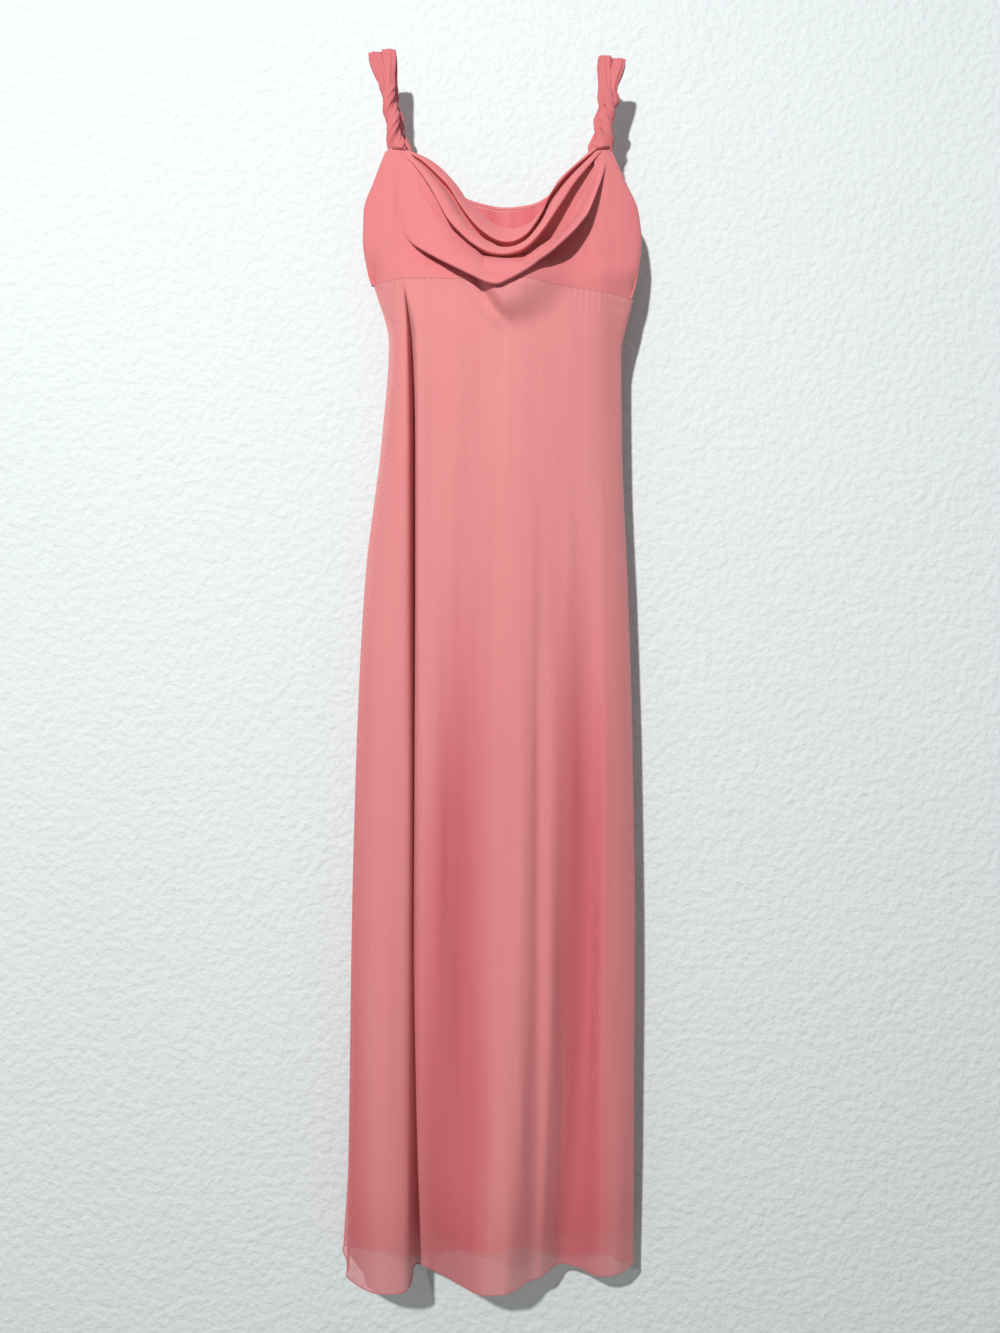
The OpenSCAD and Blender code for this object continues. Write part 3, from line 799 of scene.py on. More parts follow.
@dataclass
class SkirtBack(HungSkirt):
    """Outer back skirt: quieter folds that flare at the left corner of the hem."""

    levels: tuple[float, ...] = (290, 480, 650, 850, 1100, 1300, 1500)
    lines: tuple[Guide, ...] = (
        Guide((138, 138, 138, 139, 141, 145, 150), (14, 14, 15, 15, 17, 18, 20)),
        Guide((124, 126, 127, 130, 133, 137, 142), (17, 19, 21, 24, 29, 33, 38)),
        Guide((78, 80, 82, 84, 84, 84, 82), (18, 20, 22, 25, 29, 31, 33)),
        Guide((34, 36, 36, 36, 34, 32, 30), (18, 22, 27, 32, 39, 44, 48)),
        Guide((-8, -8, -8, -9, -10, -10, -12), (18, 20, 23, 26, 30, 31, 33)),
        Guide((-48, -48, -50, -52, -54, -56, -58), (18, 22, 27, 31, 38, 42, 46)),
        Guide((-84, -86, -90, -94, -98, -102, -104), (18, 20, 23, 26, 29, 31, 33)),
        Guide((-108, -112, -118, -128, -144, -160, -176), (17, 19, 23, 27, 34, 41, 48)),
        Guide((-119, -124, -135, -150, -168, -184, -198), (15.5, 17, 20, 24, 31, 40, 50)),
        Guide((-120, -122, -126, -131, -140, -158, -188), (14, 14, 14, 14, 15, 15, 16)),
    )

    def grid(self) -> Grid:
        """The cloth's middle surface from the waist seam to the hem."""
        grid = self.hung()
        x, y, down = grid[:, :, 0], grid[:, :, 1], -grid[:, :, 2]      # x and y are shaped in place
        y += bell(x, 0, 110) * (ripple(x, down, 66, 640, 2.2) * (0.4 + ease((down - 300) / 700))
                                + ripple(x, down, 23, 240, 0.7) * 0.25)
        near_zip = (x > 110) & (down < 620)
        x -= np.where(near_zip, 1.7 * FORM.zip_half_gap * FORM.zip_open(down)
                      * ease((x - 110) / 20), 0)
        return grid


@dataclass
class InnerLayer:
    """A lining that hangs inside an outer panel and bridges its narrow folds."""

    gap: float
    inward: float               # +1 towards the back for the front lining, -1 for the back lining
    reach: float = 9.0          # folds narrower than twice this are bridged
    columns: int = 96
    trim: float = 5.0           # how far the lining stays in from the side edges
    zip_room: tuple[float, float] = (4.5, 3.2)      # how far its right end stays off the zip

    def grid(self, outer: Grid, last_down: float) -> Grid:
        """The lining's middle surface.

        Args:
            outer: The outer panel's surface.
            last_down: Distance down of the lining's hem.

        Returns:
            The lining's surface, from the waist seam to its hem.
        """
        down = -outer[:, :, 2].mean(axis=1)
        keep = down <= last_down
        grid = np.array([self.row(row) for row in outer[keep][::2]])
        finish = grid[-1].copy()
        finish[:, 2] = -last_down
        return np.concatenate([grid, finish[None]])

    def row(self, row: np.ndarray) -> np.ndarray:
        """One level of the lining, from left to right."""
        row = row if row[0, 0] < row[-1, 0] else row[::-1]
        x = row[:, 0]
        face = row[int(np.argmin(x)):int(np.argmax(x)) + 1]
        places = np.linspace(x.min() + self.trim, x.max() - self.trim, 60)
        near = np.abs(face[None, :, 0] - places[:, None]) <= self.reach
        far = np.where(near, face[None, :, 1] * self.inward, -1e9).max(axis=1) * self.inward
        kernel = np.exp(-np.linspace(-1.6, 1.6, 9) ** 2)
        soft = np.convolve(np.pad(far, 4, mode="edge"), kernel / kernel.sum(), mode="valid")
        soft = self.inward * np.maximum(self.inward * soft, self.inward * far - 1.0)
        rising = row[np.argsort(x)]
        z = np.interp(places, rising[:, 0], rising[:, 2])
        line = np.stack([places, soft + self.inward * self.gap, z], axis=1)
        inside = np.array([self.trim * 0.9, -3.2, 0.0])
        clear = np.array([-self.zip_room[0], -self.zip_room[1], 0.0])
        line = np.concatenate([[row[0] + inside], line, [row[-1] + clear]])
        return along_polyline(line, np.linspace(0, 1, self.columns))


@dataclass
class BodiceFront:
    """Fitted front bodice under the cowl, which turns round the side edges to the side seams."""

    seam_line: np.ndarray       # the skirt front's upper edge, which the bodice meets
    top_share: tuple[float, ...] = (-1, -0.92, -0.8, -0.53, -0.37, -0.15, 0.1, 0.3, 0.45, 0.56,
                                    0.74, 0.92, 1)
    top_down: tuple[float, ...] = (118, 112, 122, 158, 190, 228, 246, 238, 212, 184, 152, 112, 117)
    wrap: int = 18
    across_columns: int = 110
    rows: int = 46
    relief: float = 0.42        # how much the bodice falls back under the cowl

    def columns(self) -> np.ndarray:
        """Column places, -2 to 2, from side seam to side seam."""
        return np.concatenate([np.linspace(-2, -1, self.wrap, endpoint=False),
                               np.linspace(-1, 1, self.across_columns),
                               np.linspace(1, 2, self.wrap + 1)[1:]])

    def top(self, u: np.ndarray) -> np.ndarray:
        """Distance down of the upper edge, round the armholes and across the neck."""
        inner = smooth_through(self.top_share, self.top_down, round_share(u))
        turn = np.clip((np.abs(u) - 1) / 0.62, 0, 1)
        armhole = 118 + (FORM.underarm_down - 118) * (1 - (1 - turn) ** 2.1)
        return np.where(np.abs(u) > 1, armhole, inner)

    def point(self, u: np.ndarray, down: np.ndarray, inset: float, gap: float) -> np.ndarray:
        """Points of the surface at column places and distances down."""
        xl, xr, depth = (FORM.read(line, down) for line in (FORM.left, FORM.right, FORM.front))
        edge = FORM.edge_y(down)
        angle = np.pi / 2 * (np.clip(u, -1, 1) + 1)
        share = -np.cos(angle)
        x = (xl + xr) / 2 + (xr - xl) / 2 * share - inset * np.sign(share) * np.abs(share) ** 6
        fall = self.relief * ease((FORM.waist_down + 6 - down) / 50) \
            * lerp(0.66, 1.0, ease(share + 1.0))
        y = edge - (depth * (1 - fall) - inset) * np.sin(angle) ** 0.8
        a = np.pi / 2 * (np.abs(u) - 1)
        side_left, side_right = u < -1, u > 1
        seam = np.where(side_left, FORM.seam_left, FORM.seam_right + gap * FORM.zip_open(down))
        edge_x = np.where(side_left, xl + inset, xr - inset)
        turned = side_left | side_right
        x = np.where(turned, seam + (edge_x - seam) * np.cos(a), x)
        y = np.where(turned, edge + (FORM.seam_y - inset - edge) * np.sin(a), y)
        return np.stack([x, y, -down], axis=-1)

    def shaped(self, u: np.ndarray, down: np.ndarray, inset: float, gap: float) -> np.ndarray:
        """Points of the surface as it hangs, met to the skirt's upper edge at the waist."""
        points = self.point(u, down, inset, gap)
        x = points[..., 0]
        share = round_share(u)
        body = np.clip(np.sin(np.pi / 2 * (np.clip(u, -1, 1) + 1)), 0, 1)
        out = slack(x, down) * ease((down - 232) / 50)
        out += 4.5 * bell(x, -133, 16) * bell(down, 224, 26)           # soft bump beside the cowl
        out -= 3.5 * bell(x, -118, 8) * bell(down, 185, 42)            # valley along the roll
        out += 2.5 * bell(x, 128, 22) * bell(down, 232, 34)
        out += ripple(x, down, 46, 120, 0.9) * 0.7 + ripple(x, down, 17, 70, 2.7) * 0.22
        pucker = 0.7 * np.sin(2 * np.pi * x / 6.5) * ease((down - FORM.waist(share) + 16) / 14)
        out += pucker * (bell(x, -118, 16) + bell(x, -86, 10) + bell(x, 92, 30))
        y = points[..., 1] - out * body
        meet = ease((down - FORM.waist(share) + 42) / 42)
        seam = np.interp(x, self.seam_line[:, 0], self.seam_line[:, 1]) + inset * body ** 0.8 - 0.35
        met = lerp(y, seam, meet * ease(body * 6))
        points[..., 1] = np.where(np.abs(u) < 1, met, points[..., 1])
        return points

    def grid(self, inset: float = 0.0, gap: float = FORM.zip_half_gap, drop: float = 0.0) -> Grid:
        """The cloth's middle surface from the upper edge to the waist seam."""
        u = self.columns()[None, :]
        share = round_share(u)
        v = np.linspace(0, 1, self.rows)[:, None]
        down = lerp(self.top(u[0])[None, :] + drop, FORM.waist(share), v)
        return self.shaped(np.broadcast_to(u, down.shape), down, inset, gap)


@dataclass
class CowlDrape:
    """Draped neckline: three rolls hung from strap to strap, each one further out than the last."""

    rim: tuple = ((-111, -12, -118), (-89, -13, -127), (-69, -14, -141), (-49, -15, -163),
                  (-36, -15, -182), (-21, -16, -197), (-7, -16, -208), (7, -16, -215),
                  (23, -16, -216), (41, -16, -209), (59, -15, -187), (74, -14, -158),
                  (96, -13, -136), (123, -12, -112))
    first: tuple = ((-114, -12, -119), (-92, -17, -133), (-72, -21, -153), (-58, -24, -169),
                    (-44, -26, -192), (-28, -28, -214), (-13, -29, -228), (4, -30, -237),
                    (21, -30, -237), (38, -29, -226), (54, -27, -202), (66, -25, -177),
                    (89, -20, -148), (125, -12, -114))
    second: tuple = ((-119, -12, -121), (-100, -20, -141), (-81, -27, -170), (-69, -31, -193),
                     (-58, -35, -213), (-40, -39, -234), (-23, -41, -248), (-7, -43, -256),
                     (12, -44, -258), (29, -43, -253), (43, -41, -242), (58, -38, -223),
                     (81, -31, -186), (96, -26, -162), (129, -12, -118))
    third_top: tuple = ((-124, -12, -124), (-107, -16, -147), (-91, -20, -175), (-75, -25, -202),
                        (-60, -29, -219), (-44, -32, -235), (-27, -35, -250), (-10, -37, -263),
                        (14, -38, -271), (38, -37, -264), (58, -34, -249), (77, -30, -228),
                        (103, -24, -192), (131, -12, -126))
    third: tuple = ((-134, -8, -128), (-131, -10, -160), (-122, -14, -203), (-107, -22, -232),
                    (-91, -33, -248), (-78, -40, -258), (-61, -49, -270), (-34, -59, -287),
                    (-14, -63, -298), (0, -64.5, -301.5), (14, -64, -296), (36, -62, -283),
                    (51, -60, -271), (67, -56, -258), (91, -48, -233), (101, -44, -220),
                    (110, -39, -206), (123, -27, -171), (134, -13, -136))
    columns: int = 110
    turns: int = 7              # rows made for each step between guide lines

    def even(self, line: tuple) -> np.ndarray:
        """A guide line with its lowest point half-way along, at the drape's columns."""
        points = np.array(line, float)
        dense = along_polyline(flowing_through(np.arange(len(points)), points,
                                               np.linspace(0, len(points) - 1, 240)),
                               np.linspace(0, 1, 240))
        low = int(np.argmin(dense[:, 2]))
        half = self.columns // 2
        left = along_polyline(dense[:low + 1], np.linspace(0, 1, half))
        right = along_polyline(dense[low:], np.linspace(0, 1, self.columns - half + 1))[1:]
        return np.concatenate([left, right])

    def grid(self) -> Grid:
        """The drape's middle surface, from its facing inside the neck to the last tuck."""
        rim, first, second = self.even(self.rim), self.even(self.first), self.even(self.second)
        third_top, third = self.even(self.third_top), self.even(self.third)
        place = np.linspace(-1, 1, self.columns)
        full = (1 - np.abs(place) ** 2.6)[:, None]

        def moved(line: np.ndarray, y: float, z: float) -> np.ndarray:
            """A guide line shifted in depth and height, less towards its ends."""
            return line + np.array([0.0, y, z]) * (0.12 + 0.88 * full)

        lines = [
            moved(rim, 9, -58), moved(rim, 7, -34), moved(rim, 5, -12), moved(rim, 3.2, -2.0),
            moved(rim, 0.8, 0.3), moved(rim, -1.4, -1.6), moved(lerp(rim, first, 0.55), -2.2, 0),
            moved(first, -0.4, 1.4), moved(first, 0.8, -0.6), moved(first, 3.2, 0.2),
            moved(first, 8, 1), moved(first, 13, -1), moved(first, 13.5, -5),
            moved(lerp(first, second, 0.35), 1.5, -1), moved(lerp(first, second, 0.65), -2.0, 0),
            moved(second, -0.4, 1.6), moved(second, 0.9, -0.7), moved(second, 4, 0.0),
            moved(second, 12, 1), moved(second, 20, -1), moved(third_top, 16, -6),
            moved(third_top, 8, -3), moved(third_top, 2.6, 0.4), moved(third_top, 0, 0),
            moved(lerp(third_top, third, 0.35), -3.2, 0.6),
            moved(lerp(third_top, third, 0.72), -3.6, 0.5), moved(third, -0.6, 1.8),
            moved(third, 1.0, -0.8), moved(third, 4.2, 0.4), moved(third, 10, 6),
            moved(third, 18, 17), moved(third, 27, 26),
        ]
        keys = np.arange(len(lines))
        at = np.linspace(0, len(lines) - 1, (len(lines) - 1) * self.turns + 1)
        grid = flowing_through(keys, np.array(lines), at)
        x, down = grid[:, :, 0], -grid[:, :, 2]
        grid[:, :, 1] += ripple(x, down, 52, 90, 1.4) * 0.5 * full.T
        return grid


@dataclass
class BodiceBack:
    """Back bodice: nearly flat, scooped between the straps."""

    seam_line: np.ndarray       # the skirt back's upper edge, which the bodice meets
    top_share: tuple[float, ...] = (-1, -0.985, -0.96, -0.92, -0.8, -0.5, -0.2, 0.05, 0.3, 0.55,
                                    0.8, 0.92, 0.96, 0.985, 1)
    top_down: tuple[float, ...] = (215, 190, 135, 113, 118, 155, 174, 179, 175, 155, 118, 113, 135,
                                   190, 215)
    rows: int = 34
    columns: int = 96

    def shares(self) -> np.ndarray:
        """Places across, closer together near the seams."""
        t = np.linspace(-1, 1, self.columns)
        return np.sin(np.pi / 2 * t) * 0.35 + t * 0.65

    def top(self, share: np.ndarray) -> np.ndarray:
        """Distance down of the upper edge."""
        return smooth_through(self.top_share, self.top_down, share)

    def grid(self, inset: float = 0.0, gap: float = FORM.zip_half_gap, drop: float = 0.0) -> Grid:
        """The cloth's middle surface from the upper edge to the waist seam, right to left."""
        share = self.shares()[::-1][None, :]
        v = np.linspace(0, 1, self.rows)[:, None]
        down = lerp(self.top(share[0])[None, :] + drop, FORM.waist(share), v)
        s = np.broadcast_to(share, down.shape)
        rise = ease((FORM.underarm_down - down) / 90)
        left = lerp(FORM.seam_left + inset, -134.0 + inset, rise)
        right = FORM.seam_right - inset * 0.5 - gap * FORM.zip_open(down)
        x = lerp(left, right, (s + 1) / 2)
        back = FORM.read(FORM.back, down)
        y = FORM.seam_y + (back - FORM.seam_y) * ease(3.2 * (1 - np.abs(s))) - inset
        inner = (1 - np.abs(s) ** 4)
        y = y + inner * (ripple(x, down, 70, 160, 0.3) * 0.9 + ripple(x, down, 24, 90, 2.4) * 0.25)
        meet = ease((down - FORM.waist(s) + 42) / 42)
        y = lerp(y, np.interp(x, self.seam_line[:, 0], self.seam_line[:, 1]) - inset + 0.35, meet)
        return np.stack([x, y, -down], axis=-1)


# ---------------------------------------------------------------------------------------------
# Sewn panels
# ---------------------------------------------------------------------------------------------


def front_edge(row: np.ndarray) -> np.ndarray:
    """The part of a front panel's level between its side edges, in rising order."""
    a, b = int(np.argmin(row[:, 0])), int(np.argmax(row[:, 0]))
    face = row[a:b + 1]
    return face[np.argsort(face[:, 0])]


@dataclass
class Panel:
    """One sewn panel of cloth, with the size it was cut to."""

    node: str
    grid: Grid
    finish: Finish
    flat: tuple[float, float]   # metres, width and length of the cut
    area: float                 # square metres
    with_pieces: list[bpy.types.Object] = field(default_factory=list)
    own_name: str = ""          # for a panel that isn't named after its node

    @property
    def name(self) -> str:
        """Name of the piece."""
        return self.own_name or f"{self.node}_panel"

    @property
    def slot(self) -> str:
        """Kind of cloth: outer or lining."""
        return "lining" if self.finish is Finish.LINING else "chiffon"

    @property
    def thickness(self) -> float:
        """Thickness of the cloth."""
        return 0.3 if self.slot == "lining" else 0.4

    def build(self) -> None:
        """Makes the panel, gives it its finish, hides its solid and logs its area."""
        piece = self.finish.dress(grid_object(self.name, self.grid, self.thickness))
        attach(piece, GOWN)
        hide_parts(self.node)
        LOG.info("%s: %.3f of %.3f square metres", self.name, grid_area_m2(self.grid), self.area)


def sewn_part(name: str, grid: Grid, thickness: float, finish: Finish,
              node: str) -> bpy.types.Object:
    """Makes a small part, gives it its finish and hides the solid that it stands for.

    Args:
        name: Name of the piece.
        grid: Points of its surface, or a tube's sections.
        thickness: Its thickness, 0 for a tube.
        finish: Its finish.
        node: The solid that it stands for.

    Returns:
        The new piece.
    """
    piece = finish.dress(grid_object(name, grid, thickness))
    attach(piece, GOWN)
    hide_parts(node)
    return piece


@dataclass
class Gown:
    """All cloth panels of the gown, outer and lining."""

    binding_half: tuple[float, float] = (2.3, 0.85)     # half width and half thickness of a binding
    hem_half: tuple[float, float] = (0.45, 1.0)         # the same for the rolled hem
    hem_rise: float = 0.9                               # how far its middle is above the edge
    lining_gap: float = 2.6                             # from the skirt to its lining
    lining_inset: float = 4.5                           # from the bodice to its lining
    lining_zip_gap: float = 7.0                         # from the zip to the bodice's lining
    stay_inset: float = 6.6
    stay_zip_gap: float = 8.0

    def build(self) -> None:
        """Builds every panel, its hems and its bindings."""
        skirt_front = SkirtFront().grid()
        skirt_back = SkirtBack().grid()
        front = BodiceFront(front_edge(skirt_front[0]))
        back = BodiceBack(skirt_back[0][np.argsort(skirt_back[0][:, 0])])
        bodice_front, bodice_back = front.grid(), back.grid()
        lining_hem = FORM.hem_down - FORM.lining_lift
        inner_front = InnerLayer(self.lining_gap, 1.0, reach=22.0, zip_room=(10.0, 10.0))
        inner_back = InnerLayer(self.lining_gap, -1.0, reach=18.0)
        inset, gap = self.lining_inset, self.lining_zip_gap
        outer, folded, lining = Finish.CHIFFON, Finish.FOLDED_CHIFFON, Finish.LINING
        hem_front = self.hem("hem_roll_front", "skirt_front", skirt_front[-1])
        hem_back = self.hem("hem_roll_back", "skirt_back", skirt_back[-1])
        for panel in (
                Panel("skirt_front", skirt_front, outer, (0.56, 1.22), 0.60, [hem_front]),
                Panel("skirt_back", skirt_back, outer, (0.46, 1.22), 0.46, [hem_back]),
                Panel("bodice_front", bodice_front, folded, (0.42, 0.19), 0.055),
                Panel("bodice_front", CowlDrape().grid(), folded, (0.44, 0.36), 0.085,
                      own_name="cowl_drape"),
                Panel("bodice_back", bodice_back, outer, (0.28, 0.18), 0.035),
                Panel("skirt_lining_front", inner_front.grid(skirt_front, lining_hem), lining,
                      (0.48, 1.18), 0.50),
                Panel("skirt_lining_back", inner_back.grid(skirt_back, lining_hem), lining,
                      (0.42, 1.18), 0.42),
                Panel("bodice_lining_front", front.grid(inset, gap, 7.0), lining,
                      (0.40, 0.18), 0.05),
                Panel("bodice_lining_back", back.grid(inset, gap, 5.0), lining,
                      (0.27, 0.17), 0.033)):
            panel.build()
        self.bindings(front, back, bodice_front[0], bodice_back[0])
        self.stay(front, back)

    def hem(self, name: str, node: str, edge: np.ndarray) -> bpy.types.Object:
        """Narrow rolled hem along a skirt's lower edge."""
        path = edge + np.array([0.0, 0.0, self.hem_rise])
        tube = tube_grid(path, np.tile(self.hem_half, (len(path), 1)), 8)
        return sewn_part(name, tube, 0, Finish.THREAD, node)

    def bindings(self, front: BodiceFront, back: BodiceBack, front_top: np.ndarray,
                 back_top: np.ndarray) -> None:
        """Bias bindings round both armholes and along the back neck.

        Args:
            front: The front bodice.
            back: The back bodice.
            front_top: Upper edge of the front bodice.
            back_top: Upper edge of the back bodice.
        """
        shares = back.shares()[::-1]
        sides = (("left", front_top[:front.wrap + 1][::-1], back_top[shares < -0.9][::-1]),
                 ("right", front_top[-(front.wrap + 1):], back_top[shares > 0.9]))
        for side, front_part, back_part in sides:
            self.binding(f"armhole_binding_{side}", np.concatenate([front_part, back_part[1:]]), 90)
        self.binding("back_neck_binding", back_top[np.abs(shares) < 0.93], 100)

    def binding(self, node: str, edge: np.ndarray, count: int) -> None:
        """Folded bias strip along one edge.

        Args:
            node: Name of the strip's solid.
            edge: Points of the cloth's edge.
            count: Sections along the strip.
        """
        path = self.smoothed(edge, count)
        tube = tube_grid(path, np.tile(self.binding_half, (len(path), 1)), 10)
        sewn_part(f"{node}_strip", tube, 0, Finish.BINDING, node)

    @staticmethod
    def smoothed(path: np.ndarray, count: int) -> np.ndarray:
        """A path with even spacing and its small corners rounded."""
        even = along_polyline(path, np.linspace(0, 1, count))
        for _ in range(4):
            even[1:-1] = (even[:-2] + 2 * even[1:-1] + even[2:]) / 4
        return even

    def stay(self, front: BodiceFront, back: BodiceBack) -> None:
        """Narrow tape sewn inside along the waist seam, in a front and a back half."""
        u = front.columns()[None, :]
        share = round_share(u)
        offsets = np.array([-5.0, -2.5, 0.0, 2.5, 5.0])[:, None]
        down = FORM.waist(share) + offsets
        front_tape = front.shaped(np.broadcast_to(u, down.shape), down, self.stay_inset,
                                  self.stay_zip_gap)
        lower = back.grid(self.stay_inset, self.stay_zip_gap)[-1]
        back_tape = np.stack([lower + np.array([0.0, 0.0, -o]) for o in offsets[:, 0]])
        for name, tape in (("front", front_tape), ("back", back_tape)):
            sewn_part(f"waist_stay_{name}", tape, 0.7, Finish.TAPE, "waist_stay_tape")


# ---------------------------------------------------------------------------------------------
# Straps
# ---------------------------------------------------------------------------------------------


@dataclass(frozen=True)
class Strap:
    """One shoulder strap: two gathered strands, twisted together and folded over the arm."""

    side: int                   # -1 at the left, 1 at the right
    front_foot: tuple[float, float, float]
    back_foot: tuple[float, float, float]
    loop_x: float = 142.0
    loop_z: float = 4.0
    arm_r: float = 3.0
    slope_degrees: float = 12.0
    strand_t: float = 3.0
    strand_w: float = 16.0
    lump: float = 0.0           # how far the outer strand bulges half-way up its front run
    fan_from: float = 0.66
    turn_degrees: float = 640.0
    run_points: int = 56
    over_points: int = 20
    sides: int = 40

    def strand_name(self, which: int) -> str:
        """Name of a strand's solid."""
        side = "left" if self.side < 0 else "right"
        return f"strap_{side}_{'inner' if which else 'outer'}_strand"

    def run(self, which: int, behind: int) -> tuple[np.ndarray, np.ndarray, np.ndarray]:
        """One strand between its foot and the arm.

        Args:
            which: 0 for the outer strand, 1 for the inner one.
            behind: -1 for the front run, 1 for the back run.

        Returns:
            The path upwards, its half widths and its twist in radians.
        """
        t = np.linspace(0, 1, self.run_points)
        foot = np.array(self.front_foot if behind < 0 else self.back_foot)
        head = np.array([self.side * self.loop_x, behind * (self.arm_r + self.strand_t / 2 + 0.3),
                         self.loop_z + 1.5])
        base = lerp(foot[None, :], head[None, :], t[:, None])
        base[:, 1] = behind * lerp(abs(foot[1]), abs(head[1]), t**2)
        fan = ease((t - self.fan_from) / (1 - self.fan_from))
        spread = ease((0.16 - t) / 0.16)
        angle = np.radians(90 * (1 - self.side) + 180 * which
                           + self.side * self.turn_degrees * np.maximum(0, self.fan_from - t))
        radius = lerp(3.4, 0, fan) + 1.2 * spread
        slide = (self.strand_w / 2 + 0.1) * (1 if which == 0 else -1) * self.side * fan
        drop = -self.side * slide * math.tan(math.radians(self.slope_degrees))
        path = base + np.stack([radius * np.cos(angle) + slide, 0.85 * radius * np.sin(angle),
                                drop], axis=1)
        if which == 0 and behind < 0:
            path[:, 0] += self.side * self.lump * bell(t, 0.53, 0.075)
        puff = 1 + 0.07 * np.sin(9 * t + 2 * which) * (1 - fan)
        widths = np.stack([(lerp(5.9, self.strand_w / 2 - 0.3, fan) + 1.5 * spread) * puff,
                           (lerp(3.7, self.strand_t / 2 - 0.1, fan) - 0.9 * spread) * puff], axis=1)
        return path, widths, angle

    def strand(self, which: int) -> None:
        """Makes one strand from its front foot over the arm to its back foot."""
        front, front_w, front_a = self.run(which, -1)
        back, back_w, back_a = self.run(which, 1)
        turn = np.linspace(0, math.pi, self.over_points + 2)[1:-1]
        radius = self.arm_r + self.strand_t / 2 + 0.2
        over = np.stack([np.full_like(turn, front[-1][0]), -radius * np.cos(turn),
                         front[-1][2] + radius * np.sin(turn) - 1.0 * np.sin(turn)], axis=1)
        path = np.concatenate([front, over, back[::-1]])
        widths = np.concatenate([front_w, np.tile(front_w[-1], (len(over), 1)), back_w[::-1]])
        twist = np.concatenate([front_a, np.full(len(over), front_a[-1]), back_a[::-1]])
        count = len(path)

        def gathers(angles: np.ndarray, share: float) -> np.ndarray:
            """Soft pleats that run along the strand."""
            phase = twist[min(int(share * (count - 1) + 0.5), count - 1)]
            wander = 2.0 + 3 * which + 2.2 * math.sin(7 * share)
            return (1 + 0.15 * np.cos(5 * (angles - phase) + which)
                    + 0.09 * np.cos(9 * (angles - phase) + wander))

        tube = tube_grid(path, widths, self.sides, along=np.array([1.0, 0.0, 0.0]), profile=gathers)
        node = self.strand_name(which)
        sewn_part(f"{node}_cloth", tube, 0, Finish.STRAP_CHIFFON, node)

    def build(self) -> None:
        """Makes both strands."""
        for which in (0, 1):
            self.strand(which)


# ---------------------------------------------------------------------------------------------
# Zip, hook and eye, labels
# ---------------------------------------------------------------------------------------------


@dataclass(frozen=True)
class SideZip:
    """Concealed zip in the side seam: woven tapes, coil teeth, slider and pull."""

    x: float = 138.0
    coil_y: float = 11.8
    coil_offset: float = 1.6
    coil_r: float = 0.62
    wire_r: float = 0.24
    pitch: float = 1.35
    tape_near: float = 2.5
    tape_far: float = 8.5
    tape_y: float = 11.7

    def coil(self, side: int) -> Grid:
        """A row of teeth: one spiral of fine plastic wire."""
        top, length = FORM.zip_top, FORM.zip_length
        steps = int(length / self.pitch * 9)
        t = np.linspace(0, 1, steps)
        a = t * length / self.pitch * 2 * math.pi
        path = np.stack([self.x + side * self.coil_offset + self.coil_r * 1.15 * np.cos(a),
                         self.coil_y + self.coil_r * np.sin(a),
                         -(top + 1) - t * (length - 2)], axis=1)
        return tube_grid(path, np.tile([self.wire_r, self.wire_r], (steps, 1)), 5)

    def tape(self, side: int) -> Grid:
        """A tape beside the coil, which follows the cloth's curve at the front."""
        down = np.linspace(FORM.zip_top - 4, FORM.zip_top + FORM.zip_length + 8, 60)
        across = np.linspace(self.tape_near, self.tape_far, 7)
        grid = np.zeros((len(down), len(across), 3))
        reach = FORM.read(FORM.right, down) - 2 - self.x
        for i, (d, r) in enumerate(zip(down, reach)):
            bend = 1 - np.sqrt(np.clip(1 - (across / r) ** 2, 0, 1))
            fall = self.tape_y * bend if side > 0 else 0
            grid[i, :, 0] = self.x + side * across
            grid[i, :, 1] = self.tape_y - fall - 0.1
            grid[i, :, 2] = -d
        return grid

    def build(self) -> None:
        """Makes the soft parts and gives the hard ones their finish."""
        for side, name in ((1, "front"), (-1, "back")):
            sewn_part(f"zip_tape_{name}_woven", self.tape(side), 0.55, Finish.TAPE,
                      f"zip_tape_{name}")
            sewn_part(f"zip_coil_{name}_teeth", self.coil(side), 0, Finish.ZIP_PLASTIC,
                      f"zip_coil_{name}")
        for node, finish in (("zip_slider", Finish.ZIP_PLASTIC), ("zip_pull", Finish.ZIP_PLASTIC),
                             ("zip_top_stops", Finish.WIRE), ("zip_bottom_stop", Finish.WIRE),
                             ("hook", Finish.WIRE), ("eye", Finish.WIRE)):
            finish.dress(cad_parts[node])


@dataclass(frozen=True)
class SewnLabel:
    """A blank woven label, sewn in along its upper edge."""

    node: str
    curl: float

    def build(self) -> None:
        """Makes the label in the space of its solid."""
        low, high = (np.array(corner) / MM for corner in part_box(self.node))
        across, down = np.linspace(0, 1, 18), np.linspace(0, 1, 22)
        grid = np.zeros((len(down), len(across), 3))
        for i, d in enumerate(down):
            grid[i, :, 0] = lerp(low[0], high[0], across)
            grid[i, :, 1] = (low[1] + high[1]) / 2 - 0.5 - self.curl * d * d \
                - 0.25 * np.sin(across * 3 * math.pi) * d
            grid[i, :, 2] = lerp(high[2], low[2], d)
        sewn_part(f"{self.node}_woven", grid, 0.35, Finish.LABEL, self.node)


# ---------------------------------------------------------------------------------------------
# Room, light and camera
# ---------------------------------------------------------------------------------------------


